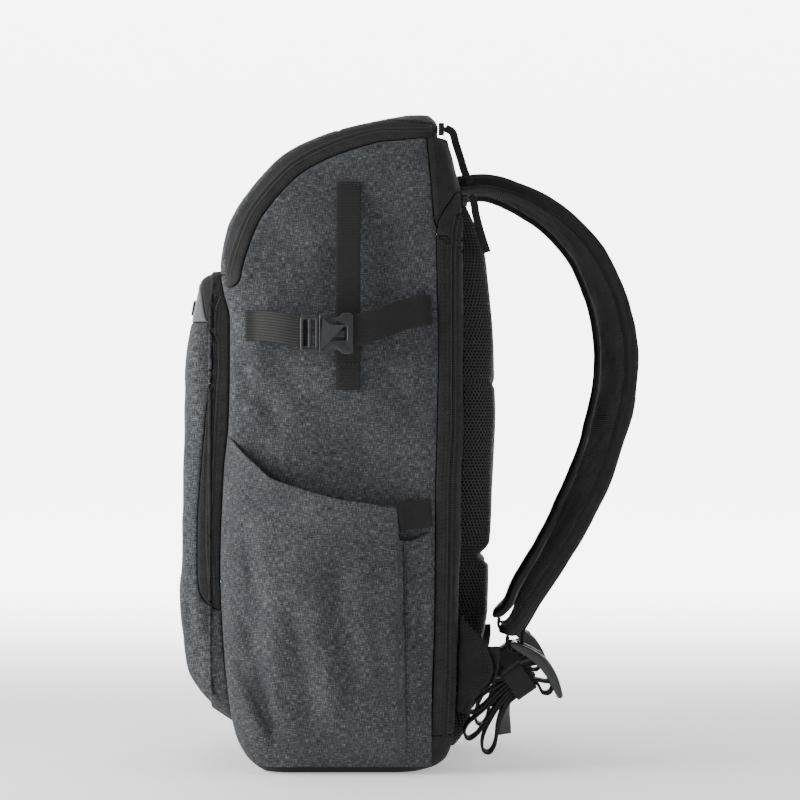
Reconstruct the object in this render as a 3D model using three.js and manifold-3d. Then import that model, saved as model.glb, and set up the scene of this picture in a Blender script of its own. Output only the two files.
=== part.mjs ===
// A camera backpack: a tall padded bag with a lid that zips open, a front pocket, two open side
// pockets, a rear door that zips open, a padded back, two shoulder straps and a fastened side strap.
// Millimetres. +Z is up, -Y the front pocket's side, +Y the harness side, +X the wearer's right.
// The origin is the middle of the flat base.
import * as THREE from "three";
import { mergeVertices } from "three/addons/utils/BufferGeometryUtils.js";
import Module from "manifold-3d";

const wasm = await Module();
wasm.setup();

// Driving sizes of the bag.
const HEIGHT = 460;
const WIDTH = 300;
const DEPTH = 168;
const WALL = 7; // padded wall of the bag
const CORNER = 20; // plan radius of the upright edges
const SIDE_CROWN = 4; // how far the side panels swell
const CLOTH = 2; // unpadded pocket cloth
const GAP = 0.3; // clearance between pieces

// Zips, pocket and pads.
const LID_BAND = 17; // width of the lid's zip band
const LID_EDGE = 9; // how far the band reaches in from the side
const POCKET_PROUD = 30; // front pocket's depth
const POCKET_WIDTH = 244;
const POCKET_HEIGHT = 316;
const POCKET_BOTTOM = 33;
const POCKET_CORNER = 14;
const BADGE = { width: 46, height: 11, thick: 2 };
const MOUTH = 22; // how far a side pocket's rim stands off
const PAD_PROUD = 21;
const PAD_WIDTH = 236;
const PAD_CHANNEL = 12; // depth of the air channel down the middle
const PAD_BOTTOM = 14;
const PAD_BELOW_TOP = 62; // the pad ends this far below the bag's top
const PAD_HEIGHT = HEIGHT - PAD_BOTTOM - PAD_BELOW_TOP;

// Webbing, straps and plastic.
const WEB_THICK = 1.6;
const SIDE_WEB = 21; // side strap
const SIDE_STAND = 24; // how far the fastened side strap stands off
const HANDLE_WEB = 17; // upright side handle
const HANDLE_STAND = 11;
const STRAP_REACH = 113; // how far the shoulder straps bow out behind the back
const STRAP_WIDTH = 65;
const STRAP_THICK = 9.5;
const ADJUST_WEB = 25; // webbing of the harness
const LOCK_LENGTH = 46;
const LOCK_RAIL = 4;
const LOCK_BAR = 4.6;
const LOCK_BOW = 6;
const KEEPER = 16; // elastic keeper's length along the folded webbing
const KEEPER_THICK = 1.5;
const PITCH = 2.2; // spacing of the folded layers
const LAYERS = 8;
const WING_THICK = 3;
const PULL_WEB = 5.5;
const PULL_THICK = 2;
const SLIDER = { length: 11, width: 9, thick: 4 };
const BUCKLE = { length: 36, width: 28, thick: 8 };

// Small helpers.
const V = (x, y, z) => new THREE.Vector3(x, y, z);
const X = V(1, 0, 0);
const table = (columns, rows) =>
  rows.map((row) => Object.fromEntries(row.map((value, i) => [columns[i], value])));

function between(rows, key, at) {
  let i = 1;
  while (i < rows.length - 1 && rows[i][key] < at) i += 1;
  const a = rows[i - 1];
  const b = rows[i];
  const t = THREE.MathUtils.clamp((at - a[key]) / (b[key] - a[key]), 0, 1);
  const mixed = Object.keys(a).map((name) => [name, THREE.MathUtils.lerp(a[name], b[name], t)]);
  return Object.fromEntries(mixed);
}

// A closed geometry becomes a solid that can be cut and joined, and a solid a geometry again.
function solid(geometry) {
  const bare = geometry.clone();
  bare.deleteAttribute("normal");
  bare.deleteAttribute("uv");
  const merged = mergeVertices(bare, 1e-4);
  return new wasm.Manifold(
    new wasm.Mesh({
      numProp: 3,
      vertProperties: new Float32Array(merged.attributes.position.array),
      triVerts: new Uint32Array(merged.index.array),
    }),
  );
}

function geometryOf(body) {
  const mesh = body.getMesh();
  const geometry = new THREE.BufferGeometry();
  geometry.setAttribute("position", new THREE.BufferAttribute(mesh.vertProperties, 3));
  geometry.setIndex(new THREE.BufferAttribute(mesh.triVerts, 1));
  geometry.computeVertexNormals();
  return geometry;
}

// Triangles between neighbouring rings of equal count.
function wallFaces(rows, count) {
  const faces = [];
  for (let r = 0; r < rows - 1; r += 1) {
    for (let i = 0; i < count; i += 1) {
      const j = (i + 1) % count;
      const low = r * count;
      const high = low + count;
      faces.push([low + i, low + j, high + j], [low + i, high + j, high + i]);
    }
  }
  return faces;
}

function fromFaces(points, faces) {
  const geometry = new THREE.BufferGeometry();
  const flat = points.flatMap((p) => [p.x, p.y, p.z]);
  geometry.setAttribute("position", new THREE.Float32BufferAttribute(flat, 3));
  geometry.setIndex(faces.flat());
  geometry.computeVertexNormals();
  return geometry;
}

// Joins rings of equal count into a closed shape with fans at its ends, faces pointing out.
function loft(rings) {
  const count = rings[0].length;
  const points = rings.flat();
  const faces = wallFaces(rings.length, count);
  for (const [ring, flip] of [[0, true], [rings.length - 1, false]]) {
    const middle = rings[ring].reduce((sum, p) => sum.add(p), V(0, 0, 0)).divideScalar(count);
    const hub = points.push(middle) - 1;
    for (let i = 0; i < count; i += 1) {
      const a = ring * count + i;
      const b = ring * count + ((i + 1) % count);
      faces.push(flip ? [hub, b, a] : [hub, a, b]);
    }
  }
  const volume = faces.reduce((sum, [a, b, c]) => {
    return sum + points[a].dot(points[b].clone().cross(points[c]));
  }, 0);
  const outward = volume > 0 ? faces : faces.map(([a, b, c]) => [a, c, b]);
  return fromFaces(points, outward);
}

function mirrored(geometry) {
  const copy = geometry.clone();
  const position = copy.attributes.position;
  for (let i = 0; i < position.count; i += 1) position.setX(i, -position.getX(i));
  if (!copy.index) copy.setIndex([...Array(position.count).keys()]);
  const index = copy.index.array;
  for (let i = 0; i < index.length; i += 3) {
    const second = index[i + 1];
    index[i + 1] = index[i + 2];
    index[i + 2] = second;
  }
  copy.computeVertexNormals();
  return copy;
}

// An outline in the side view (y, z), extruded from one x to another.
function sideExtrude(points, from, to, holes = []) {
  const shape = new THREE.Shape(points.map(([y, z]) => new THREE.Vector2(y, z)));
  shape.holes = holes.map((hole) => new THREE.Path(hole.map(([y, z]) => new THREE.Vector2(y, z))));
  const geometry = new THREE.ExtrudeGeometry(shape, { depth: to - from, bevelEnabled: false });
  const turn = new THREE.Matrix4().makeBasis(V(0, 1, 0), V(0, 0, 1), X);
  return geometry.applyMatrix4(turn).translate(from, 0, 0);
}
const region = (points) => solid(sideExtrude(points, -WIDTH, WIDTH));

// A band along a line in the side view, with its half width at each point.
function bandOutline(line, half) {
  const sides = [[], []];
  line.forEach(([y, z], i) => {
    const before = line[Math.max(i - 1, 0)];
    const after = line[Math.min(i + 1, line.length - 1)];
    const into = new THREE.Vector2(y - before[0], z - before[1]);
    const out = new THREE.Vector2(after[0] - y, after[1] - z);
    if (i === 0) into.copy(out);
    if (i === line.length - 1) out.copy(into);
    const first = new THREE.Vector2(-into.y, into.x).normalize();
    const second = new THREE.Vector2(-out.y, out.x).normalize();
    const normal = first.clone().add(second).normalize();
    const reach = (typeof half === "number" ? half : half[i]) / normal.dot(first);
    sides[0].push([y + normal.x * reach, z + normal.y * reach]);
    sides[1].unshift([y - normal.x * reach, z - normal.y * reach]);
  });
  return sides.flat();
}
const seam = (line) => region(bandOutline(line, GAP / 2));

// Sweeps a flat section along stations that hold a point, a width direction and a width.
function sweep(stations, sectionOf) {
  const rings = stations.map(({ point, across, width }, i) => {
    const before = stations[Math.max(i - 1, 0)].point;
    const after = stations[Math.min(i + 1, stations.length - 1)].point;
    const along = after.clone().sub(before).normalize();
    const normal = along.clone().cross(across).normalize();
    const side = normal.clone().cross(along);
    return sectionOf(width).map(([a, b]) =>
      point.clone().addScaledVector(side, a).addScaledVector(normal, b),
    );
  });
  return loft(rings);
}

const tape = (thick) => (width) => [
  [width / 2, -thick / 2],
  [width / 2, thick / 2],
  [-width / 2, thick / 2],
  [-width / 2, -thick / 2],
];

const padSection = (thick) => (width) => [
  [width / 2, -0.2 * thick],
  [width / 2, 0.2 * thick],
  [width * 0.44, thick / 2],
  [-width * 0.44, thick / 2],
  [-width / 2, 0.2 * thick],
  [-width / 2, -0.2 * thick],
  [-width * 0.44, -thick / 2],
  [width * 0.44, -thick / 2],
];

// The bag's body: shares of HEIGHT, of DEPTH and of half the WIDTH, from the base up.
const BODY = table(["z", "front", "rear", "half"], [
  [0, 0.333, 0.315, 0.84],
  [0.009, 0.363, 0.381, 0.9],
  [0.026, 0.405, 0.429, 0.947],
  [0.067, 0.454, 0.458, 0.98],
  [0.111, 0.474, 0.464, 0.993],
  [0.187, 0.494, 0.47, 1],
  [0.304, 0.508, 0.479, 1],
  [0.452, 0.494, 0.488, 1],
  [0.533, 0.474, 0.494, 0.993],
  [0.62, 0.47, 0.494, 0.983],
  [0.683, 0.47, 0.494, 0.967],
  [0.726, 0.497, 0.494, 0.95],
  [0.761, 0.511, 0.494, 0.933],
  [0.82, 0.486, 0.494, 0.9],
  [0.85, 0.45, 0.49, 0.877],
  [0.878, 0.399, 0.485, 0.853],
  [0.909, 0.33, 0.462, 0.82],
  [0.933, 0.265, 0.448, 0.787],
  [0.952, 0.185, 0.435, 0.753],
  [0.959, 0.143, 0.43, 0.74],
  [0.963, 0.119, 0.39, 0.733],
  [0.976, 0.024, 0.393, 0.693],
  [0.989, -0.107, 0.384, 0.627],
  [1, -0.25, 0.357, 0.52],
]);
const yOf = (share) => share * DEPTH;
const zOf = (share) => share * HEIGHT;
const lineOf = (rows) => rows.map(({ y, z }) => [yOf(y), zOf(z)]);
const crownAt = (share) => SIDE_CROWN * Math.sin(Math.PI * share);
const cornerOf = (front, rear, wanted) => Math.min(wanted, (rear - front) * 0.45);

function bodyAt(z) {
  const row = between(BODY, "z", z / HEIGHT);
  return { front: -yOf(row.front), rear: yOf(row.rear), half: (row.half * WIDTH) / 2 };
}

// x of the right side panel's surface at a place in the side view.
function sideX(y, z) {
  const { front, rear, half } = bodyAt(z);
  const round = cornerOf(front, rear, CORNER);
  const past = Math.max(front + round - y, y - (rear - round), 0);
  if (past > 0) return half - round + Math.sqrt(Math.max(round ** 2 - past ** 2, 0));
  const t = (y - front - round) / (rear - front - 2 * round);
  return half + crownAt(z / HEIGHT) * 4 * t * (1 - t);
}

// A horizontal ring of the bag with rounded corners and swollen sides, anticlockwise from above.
function planRing(z, front, rear, half, corner, crown) {
  const round = cornerOf(front, rear, corner);
  const ring = [];
  const turn = (x, y, start) => {
    for (let step = 0; step < 3; step += 1) {
      const angle = ((start + step * 45) * Math.PI) / 180;
      ring.push(V(x + round * Math.cos(angle), y + round * Math.sin(angle), z));
    }
  };
  const flank = (sign, first, last) => {
    for (const t of [0.25, 0.5, 0.75]) {
      const y = THREE.MathUtils.lerp(first, last, t);
      ring.push(V(sign * (half + crown * 4 * t * (1 - t)), y, z));
    }
  };
  turn(half - round, front + round, -90);
  flank(1, front + round, rear - round);
  turn(half - round, rear - round, 0);
  turn(round - half, rear - round, 90);
  flank(-1, rear - round, front + round);
  turn(round - half, front + round, 180);
  return ring;
}

function bagSolid(inset, frontInset = inset, endInset = inset) {
  const rings = BODY.map(({ z, front, rear, half }) =>
    planRing(
      endInset + z * (HEIGHT - 2 * endInset),
      -yOf(front) + frontInset,
      yOf(rear) - inset,
      (half * WIDTH) / 2 - inset,
      Math.max(CORNER - inset, 3),
      crownAt(z),
    ),
  );
  return solid(loft(rings));
}
const bag = bagSolid(0);
const clearOfBag = bagSolid(-GAP);
const padded = bag.subtract(bagSolid(WALL));

const ROOF_FRONT = -0.024; // where the lid's roof cloth starts, share of DEPTH
const BEHIND = 0.6; // a place behind the bag's rear, share of DEPTH
const ZIP_FOOT = 0.0587; // where the rear zip ends above the base, share of HEIGHT

// Lines in the side view, as shares of DEPTH and HEIGHT, along which the panels meet.
const LID_ZIP = table(["y", "z", "half"], [
  [-0.473, 0.75, 0.5],
  [-0.464, 0.767, 0.5],
  [-0.435, 0.802, 0.5],
  [-0.392, 0.841, 0.5],
  [-0.334, 0.8715, 0.5],
  [-0.285, 0.893, 0.5],
  [-0.207, 0.92, 0.5],
  [-0.089, 0.9446, 0.5],
  [0.027, 0.961, 0.5],
  [0.179, 0.973, 0.46],
  [0.321, 0.973, 0.33],
  [0.393, 0.973, 0.29],
  [0.595, 0.973, 0.29],
]);
const YOKE_FRONT = table(["y", "z"], [
  [0.342, 0.971],
  [0.3625, 0.887],
  [0.3726, 0.837],
  [0.383, 0.809],
]);
const YOKE_BELOW = table(["y", "z"], [
  [0.383, 0.809],
  [0.393, 0.833],
  [0.417, 0.848],
  [0.47, 0.877],
  [BEHIND, 0.881],
]);
const GUSSET_FRONT = table(["y", "z"], [
  [0.383, 0.809],
  [0.3905, 0.622],
  [0.387, 0.528],
  [0.3786, 0.4065],
  [0.376, 0.2326],
  [0.3667, 0.1326],
  [0.36, ZIP_FOOT],
]);
const DOOR_EDGE = table(["y", "z"], [
  [BEHIND, 0.848],
  [0.482, 0.8446],
  [0.457, 0.8174],
  [0.4506, 0.761],
  [0.4506, 0.528],
  [0.438, 0.4348],
  [0.434, 0.3152],
  [0.426, 0.1326],
  [0.418, ZIP_FOOT],
]);
const BASE_EDGE = table(["y", "z"], [
  [-BEHIND, 0.067],
  [0, 0.061],
  [BEHIND, 0.058],
]);

function bagPanels() {
  const zip = lineOf(LID_ZIP);
  const lidLine = [[-DEPTH, zip[0][1]], ...zip];
  const roofLine = [[yOf(ROOF_FRONT), zOf(0.95)], [yOf(ROOF_FRONT), zOf(1.05)]];
  const halves = (spare) => LID_ZIP.map(({ half }) => half * LID_BAND + spare);
  const bandHole = region(bandOutline(zip, halves(GAP / 2))).subtract(bagSolid(LID_EDGE, -WALL, 0));
  const zipBand = padded
    .intersect(region(bandOutline(zip, halves(-GAP / 2))))
    .subtract(bagSolid(LID_EDGE - GAP, -WALL, 0));
  const gussetLine = lineOf(GUSSET_FRONT);
  const edges = [YOKE_FRONT, YOKE_BELOW, DOOR_EDGE, BASE_EDGE].map(lineOf);
  const lines = [lidLine, roofLine, gussetLine, ...edges];
  let rest = padded.subtract(bandHole);
  for (const line of lines) rest = rest.subtract(seam(line));
  const take = (outline) => {
    const cutter = region(outline);
    const piece = rest.intersect(cutter);
    rest = rest.subtract(cutter);
    return piece;
  };
  const top = 2 * HEIGHT;
  const lidEnd = zip[zip.length - 1];
  const lid = take([...lidLine, [lidEnd[0], top], [-DEPTH, top]]);
  const rearward = region([[yOf(ROOF_FRONT), 0], [DEPTH, 0], [DEPTH, top], [yOf(ROOF_FRONT), top]]);
  const roof = lid.intersect(rearward);
  const flap = lid.subtract(rearward);
  const base = take([...lineOf(BASE_EDGE), [DEPTH, -1], [-DEPTH, -1]]);
  const yoke = take([...lineOf(YOKE_FRONT), ...lineOf(YOKE_BELOW).slice(1), [yOf(BEHIND), top]]);
  const door = take([...lineOf(DOOR_EDGE), [DEPTH, zOf(ZIP_FOOT)]]);
  const [head] = gussetLine;
  const gusset = take([...gussetLine, [DEPTH, zOf(ZIP_FOOT)], [DEPTH, top], [head[0], top]]);
  return { roof, flap, base, yoke, door, gusset, zipBand, shell: rest };
}

// The front pocket: a tub of cloth open to the bag. Shares of POCKET_HEIGHT, of POCKET_PROUD in
// front of the bag, and of half the POCKET_WIDTH.
const POCKET = table(["z", "proud", "half"], [
  [0, 0.07, 0.8],
  [0.049, 0.43, 0.9],
  [0.078, 0.62, 0.94],
  [0.111, 0.83, 0.965],
  [0.133, 0.88, 0.98],
  [0.189, 0.92, 1],
  [0.244, 0.94, 1],
  [0.353, 0.88, 1],
  [0.62, 0.97, 1],
  [0.753, 1.01, 1],
  [0.82, 0.98, 0.985],
  [0.892, 0.88, 0.94],
  [0.953, 0.65, 0.87],
  [0.975, 0.55, 0.82],
  [0.987, 0.43, 0.78],
  [1, 0.18, 0.72],
]);
// The front edge of the pocket's zip gusset, in front of the bag's front plane.
const POCKET_ZIP = table(["proud", "z"], [
  [1.3, 1],
  [0.62, 0.985],
  [0.52, 0.955],
  [0.42, 0.905],
  [0.3, 0.87],
  [0.26, 0.8],
  [0.4, 0.66],
  [0.5, 0.53],
  [0.56, 0.42],
  [0.56, 0.34],
  [0.5, 0.29],
  [0.2, 0.255],
  [-0.5, 0.24],
]);
const PATCH_SEAM = 0.886; // lower edge of the smooth patch, share of POCKET_HEIGHT
const POCKET_PLANE = -0.49; // the bag's front plane behind the pocket, share of DEPTH
const POCKET_BACK = -0.3; // how far the tub is drawn into the bag before it is cut, share of DEPTH
const POCKET_HOLLOW = -0.2; // and its hollow

const pocketZ = (share) => POCKET_BOTTOM + share * POCKET_HEIGHT;

function pocketFront(share) {
  const row = between(POCKET, "z", share);
  return bodyAt(pocketZ(share)).front - row.proud * POCKET_PROUD;
}

function pocketSolid(inset, back) {
  const rings = POCKET.map(({ z, proud, half }) => {
    const height = POCKET_BOTTOM + inset + z * (POCKET_HEIGHT - 2 * inset);
    const front = bodyAt(pocketZ(z)).front - proud * POCKET_PROUD + inset;
    const wide = (half * POCKET_WIDTH) / 2 - inset;
    return planRing(height, front, back, wide, POCKET_CORNER - inset, 0);
  });
  return solid(loft(rings));
}

function frontPocket() {
  const plane = yOf(POCKET_PLANE);
  const line = POCKET_ZIP.map(({ proud, z }) => [plane - proud * POCKET_PROUD, pocketZ(z)]);
  const patch = [[-DEPTH, pocketZ(PATCH_SEAM)], [plane + CORNER, pocketZ(PATCH_SEAM)]];
  let rest = pocketSolid(0, yOf(POCKET_BACK)).subtract(pocketSolid(CLOTH, yOf(POCKET_HOLLOW)));
  rest = rest.subtract(clearOfBag).subtract(seam(line));
  const [, foot] = line[line.length - 1];
  const behind = region([...line, [0, foot], [0, HEIGHT], [line[0][0], HEIGHT]]);
  const gusset = rest.intersect(behind);
  const face = rest.subtract(behind).subtract(seam(patch));
  const above = region([...patch, [plane + CORNER, HEIGHT], [-DEPTH, HEIGHT]]);
  return { gusset, patch: face.intersect(above), face: face.subtract(above) };
}

const BADGE_LOW = PATCH_SEAM + 0.02; // shares of POCKET_HEIGHT
const BADGE_HIGH = PATCH_SEAM + 0.055;
function badge() {
  const low = pocketFront(BADGE_LOW);
  const high = pocketFront(BADGE_HIGH);
  const rise = (BADGE_HIGH - BADGE_LOW) * POCKET_HEIGHT;
  const geometry = new THREE.BoxGeometry(BADGE.width, BADGE.thick, BADGE.height);
  geometry.rotateX(-Math.atan2(high - low, rise));
  const off = 2 * GAP + BADGE.thick / 2;
  return geometry.translate(0, (low + high) / 2 - off, pocketZ((BADGE_LOW + BADGE_HIGH) / 2));
}

// A side pocket: a sheet of cloth over the side panel, sewn at its front, bottom and rear and open
// at its rim. The rim and foot are shares of HEIGHT at places along DEPTH.
const RIM = table(["y", "rim", "foot", "off"], [
  [-0.5, 0.508, 0.085, 0],
  [-0.49, 0.508, 0.072, 0.02],
  [-0.46, 0.502, 0.056, 0.1],
  [-0.41, 0.483, 0.03, 0.28],
  [-0.35, 0.464, 0.0125, 0.5],
  [-0.293, 0.446, 0.0105, 0.68],
  [-0.2, 0.434, 0.0105, 0.88],
  [-0.1, 0.423, 0.0105, 0.98],
  [0, 0.414, 0.0105, 1],
  [0.1, 0.409, 0.0105, 0.92],
  [0.17, 0.404, 0.0105, 0.72],
  [0.222, 0.401, 0.0105, 0.46],
  [0.236, 0.35, 0.0105, 0.34],
  [0.27, 0.352, 0.0105, 0.24],
  [0.32, 0.359, 0.0105, 0.1],
  [0.362, 0.365, 0.0105, 0],
]);
// How far the cloth has swelled out at a share of the way up, and its main folds: from one place
// to another, with the fold's depth and width in shares of MOUTH.
const SWELL = table(["up", "off"], [
  [0, 0],
  [0.04, 0.16],
  [0.12, 0.42],
  [0.25, 0.62],
  [0.45, 0.76],
  [0.7, 0.88],
  [0.88, 0.95],
  [1, 1],
]);
const FOLDS = table(["y0", "z0", "y1", "z1", "depth", "width"], [
  [0.238, 0.36, 0.262, 0.02, -0.16, 0.3],
  [-0.47, 0.2, -0.22, 0.05, 0.14, 0.5],
  [-0.38, 0.26, -0.3, 0.09, -0.1, 0.4],
]);

function foldAt(y, z) {
  const here = V(y, z, 0);
  return FOLDS.reduce((sum, fold) => {
    const line = new THREE.Line3(
      V(yOf(fold.y0), zOf(fold.z0), 0),
      V(yOf(fold.y1), zOf(fold.z1), 0),
    );
    const near = line.closestPointToPoint(here, true, V(0, 0, 0));
    const away = near.distanceTo(here) / (fold.width * MOUTH);
    return sum + fold.depth * MOUTH * Math.exp(-(away ** 2));
  }, 0);
}

function sidePocket() {
  const skins = [0, 1].map((outer) =>
    RIM.map(({ y, rim, foot, off }) =>
      SWELL.map((level) => {
        const z = zOf(THREE.MathUtils.lerp(foot, rim, level.up));
        const depth = yOf(Math.max(y, -bodyAt(z).front / -DEPTH + 0.004));
        const swell = off * level.off;
        const fold = foldAt(depth, z) * Math.min(1, 3 * swell);
        const lift = GAP + swell * MOUTH + fold + outer * CLOTH;
        return V(sideX(depth, z) + lift, depth, z);
      }),
    ),
  );
  const rings = SWELL.map((_, level) => [
    ...skins[1].map((column) => column[level]),
    ...skins[0].map((column) => column[level]).reverse(),
  ]);
  return geometryOf(solid(stack(rings)).subtract(clearOfBag));
}

// Closes a stack of narrow rings whose two long sides face each other.
function stack(rings) {
  const half = rings[0].length / 2;
  const count = rings[0].length;
  const points = rings.flat();
  const faces = wallFaces(rings.length, count);
  for (const [ring, flip] of [[0, true], [rings.length - 1, false]]) {
    for (let i = 0; i < half - 1; i += 1) {
      const a = ring * count + i;
      const b = a + 1;
      const c = ring * count + (count - 2 - i);
      const d = ring * count + (count - 1 - i);
      const quad = [[a, b, c], [a, c, d]];
      for (const [p, q, s] of quad) faces.push(flip ? [p, s, q] : [p, q, s]);
    }
  }
  return fromFaces(points, faces);
}

// The elastic band from the pocket's rear corner to the gusset, on the side surface.
const ELASTIC = { height: 0.042, z: 0.3855, slope: 0.0075 };
function pocketElastic() {
  const ends = RIM.filter(({ y }) => y > 0.22);
  const stations = ends.map(({ y, off }, i) => {
    const depth = yOf(y) + (i === 0 ? GAP + CLOTH : 0);
    const z = zOf(ELASTIC.z + (ELASTIC.slope * i) / (ends.length - 1));
    const point = V(sideX(depth, z) + GAP + 0.9 * off * MOUTH + WEB_THICK / 2, depth, z);
    return { point, across: V(0, 0, 1), width: zOf(ELASTIC.height) };
  });
  return sweep(stations, tape(WEB_THICK));
}

// The back pad: shares of PAD_HEIGHT, of PAD_PROUD and of half the PAD_WIDTH.
const PAD = table(["z", "proud", "half"], [
  [0, 0.2, 0.66],
  [0.022, 0.38, 0.72],
  [0.047, 0.5, 0.75],
  [0.11, 0.6, 0.78],
  [0.22, 0.88, 0.82],
  [0.25, 0.93, 0.84],
  [0.33, 0.92, 0.89],
  [0.352, 0.7, 0.9],
  [0.375, 0.95, 0.92],
  [0.46, 1, 0.97],
  [0.56, 1, 1],
  [0.71, 0.99, 0.99],
  [0.76, 0.97, 0.97],
  [0.83, 0.85, 0.93],
  [0.9, 0.7, 0.87],
  [0.937, 0.53, 0.82],
  [0.97, 0.31, 0.76],
  [1, 0.1, 0.66],
]);
// Across the pad: shares of the half width and of its proudness, from the edge to the channel.
const PAD_ACROSS = table(["x", "proud"], [
  [1, 0],
  [1, 0.35],
  [0.965, 0.75],
  [0.89, 1],
  [0.3, 1],
  [0.2, 0.75],
  [0.13, 0],
]);

function backPad() {
  const rings = PAD.map(({ z, proud, half }) => {
    const height = PAD_BOTTOM + z * PAD_HEIGHT;
    const root = bodyAt(height).rear + GAP;
    const out = proud * PAD_PROUD;
    const bed = Math.max(out - PAD_CHANNEL, out * 0.4);
    const place = (sign) => (row) => {
      const rise = row.x < 0.3 ? bed + (out - bed) * row.proud : out * row.proud;
      return V((sign * row.x * half * PAD_WIDTH) / 2, root + rise, height);
    };
    return [...PAD_ACROSS.map(place(1)), ...PAD_ACROSS.map(place(-1)).reverse()];
  });
  return geometryOf(solid(loft(rings)).subtract(clearOfBag));
}

// Webbing laid on the right side panel, swept through places on the panel with a stand-off.
function sideTape(places, width, across) {
  const stations = places.map(({ y, z, off }) => ({
    point: V(sideX(y, z) + GAP + WEB_THICK / 2 + off, y, z),
    across,
    width,
  }));
  return geometryOf(solid(sweep(stations, tape(WEB_THICK))).subtract(clearOfBag));
}

// The side handle: shares of HEIGHT and of HANDLE_STAND.
const HANDLE_Y = 0.021; // share of DEPTH
const HANDLE = table(["z", "off"], [
  [0.89, 0],
  [0.872, 0.04],
  [0.855, 0.35],
  [0.82, 0.8],
  [0.77, 1],
  [0.72, 0.9],
  [0.68, 0.55],
  [0.645, 0.15],
  [0.625, 0],
  [0.577, 0],
]);
function sideHandle() {
  const places = HANDLE.map(({ z, off }) => ({
    y: yOf(HANDLE_Y),
    z: zOf(z),
    off: off * HANDLE_STAND,
  }));
  return sideTape(places, HANDLE_WEB, V(0, 1, 0));
}

// The fastened side strap: each half runs from its sewn foot to the buckle. Run is the share of
// that way, rise a share of SIDE_WEB above the buckle, off a share of SIDE_STAND.
const BUCKLE_PLACE = { y: -0.064, z: 0.66 }; // middle, shares of DEPTH and HEIGHT
const SIDE_FRONT = table(["run", "rise", "off"], [
  [0, 0.29, 0],
  [0.15, 0.29, 0.03],
  [0.24, 0.27, 0.25],
  [0.4, 0.24, 0.62],
  [0.62, 0.17, 0.88],
  [0.86, 0.09, 0.98],
  [0.94, 0.09, 1],
  [1, 0.09, 1],
]);
const SIDE_REAR = table(["run", "rise", "off"], [
  [0, 0.8, 0],
  [0.07, 0.79, 0.02],
  [0.13, 0.77, 0.12],
  [0.22, 0.7, 0.4],
  [0.39, 0.57, 0.7],
  [0.59, 0.35, 0.9],
  [0.8, 0.17, 0.98],
  [0.95, 0.09, 1],
  [1, 0.09, 1],
]);
const SIDE_FEET = { front: -0.4, rear: 0.362 }; // shares of DEPTH
const buckleY = yOf(BUCKLE_PLACE.y);
const buckleZ = zOf(BUCKLE_PLACE.z);
function sideStrap(rows, foot, sign) {
  const end = buckleY + sign * (BUCKLE.length / 2 + GAP);
  const places = rows.map(({ run, rise, off }) => ({
    y: THREE.MathUtils.lerp(yOf(foot), end, run),
    z: buckleZ + rise * SIDE_WEB,
    off: off * SIDE_STAND,
  }));
  return sideTape(places, SIDE_WEB, V(0, 0, 1));
}

// The buckle: a frame that the front webbing turns round and a socket that grips its prongs.
// Outlines are shares of the buckle's length and width from its middle.
function bucklePiece(outline, holes) {
  const scaled = (points) =>
    points.map(([a, b]) => [buckleY + a * BUCKLE.length, buckleZ + b * BUCKLE.width]);
  const middle = sideX(buckleY, buckleZ) + GAP + WEB_THICK / 2 + SIDE_STAND;
  const foot = middle - BUCKLE.thick / 2;
  return sideExtrude(scaled(outline), foot, foot + BUCKLE.thick, holes.map(scaled));
}
function buckleMale() {
  return bucklePiece(
    [[-0.5, -0.42], [-0.155, -0.42], [-0.155, 0.42], [-0.5, 0.42]],
    [[[-0.4, -0.38], [-0.4, 0.38], [-0.32, 0.38], [-0.32, -0.38]]],
  );
}
function buckleFemale() {
  const upper = [[0.5, 0.46], [0.3, 0.5], [0.13, 0.36], [-0.02, 0.5], [-0.145, 0.42]];
  const lower = upper.map(([a, b]) => [a, -b]).reverse();
  return bucklePiece([...lower, ...upper], [[[0.1, -0.14], [0.1, 0.14], [0.38, 0.14], [0.38, -0.14]]]);
}

// The shoulder straps: shares of STRAP_REACH behind the bag, of HEIGHT and of half the WIDTH,
// the lean of the outer edge in degrees and the share of STRAP_WIDTH.
const STRAP = table(["y", "z", "x", "lean", "width"], [
  [0, 0.892, 0.35, 6, 0.84],
  [0.195, 0.893, 0.36, 6, 0.88],
  [0.502, 0.861, 0.39, 8, 0.95],
  [0.743, 0.809, 0.42, 10, 1],
  [0.901, 0.741, 0.45, 13, 1],
  [0.986, 0.662, 0.475, 15, 1],
  [0.986, 0.585, 0.5, 16, 1],
  [0.876, 0.475, 0.54, 15, 0.98],
  [0.726, 0.387, 0.61, 13, 0.95],
  [0.58, 0.321, 0.67, 10, 0.9],
  [0.416, 0.259, 0.722, 6, 0.84],
  [0.336, 0.224, 0.735, 3, 0.78],
  [0.262, 0.208, 0.742, 3, 0.72],
]);
const STRAP_STEPS = 26;
const WEB_START = 0.513; // the strap's webbing starts here, share of the strap's rows
const WEB_END = (STRAP.length - 2) / (STRAP.length - 1); // and leaves the pad at the last row but one
const strapRoot = bodyAt(zOf(0.877)).rear + GAP;
const strapPoint = ({ x, y, z }) => V((x * WIDTH) / 2, strapRoot + y * STRAP_REACH, zOf(z));
const strapCurve = new THREE.CatmullRomCurve3(STRAP.map(strapPoint), false, "centripetal");

function strapStation(share) {
  const knots = STRAP.length - 1;
  const row = between(STRAP.map((r, i) => ({ ...r, at: i / knots })), "at", share);
  const point = strapCurve.getPoint(share);
  const along = strapCurve.getTangent(share);
  const outward = X.clone().cross(along).normalize();
  const lean = (row.lean * Math.PI) / 180;
  const across = X.clone().multiplyScalar(Math.cos(lean)).addScaledVector(outward, Math.sin(lean));
  return { point, across, outward, along, width: row.width * STRAP_WIDTH };
}

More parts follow.
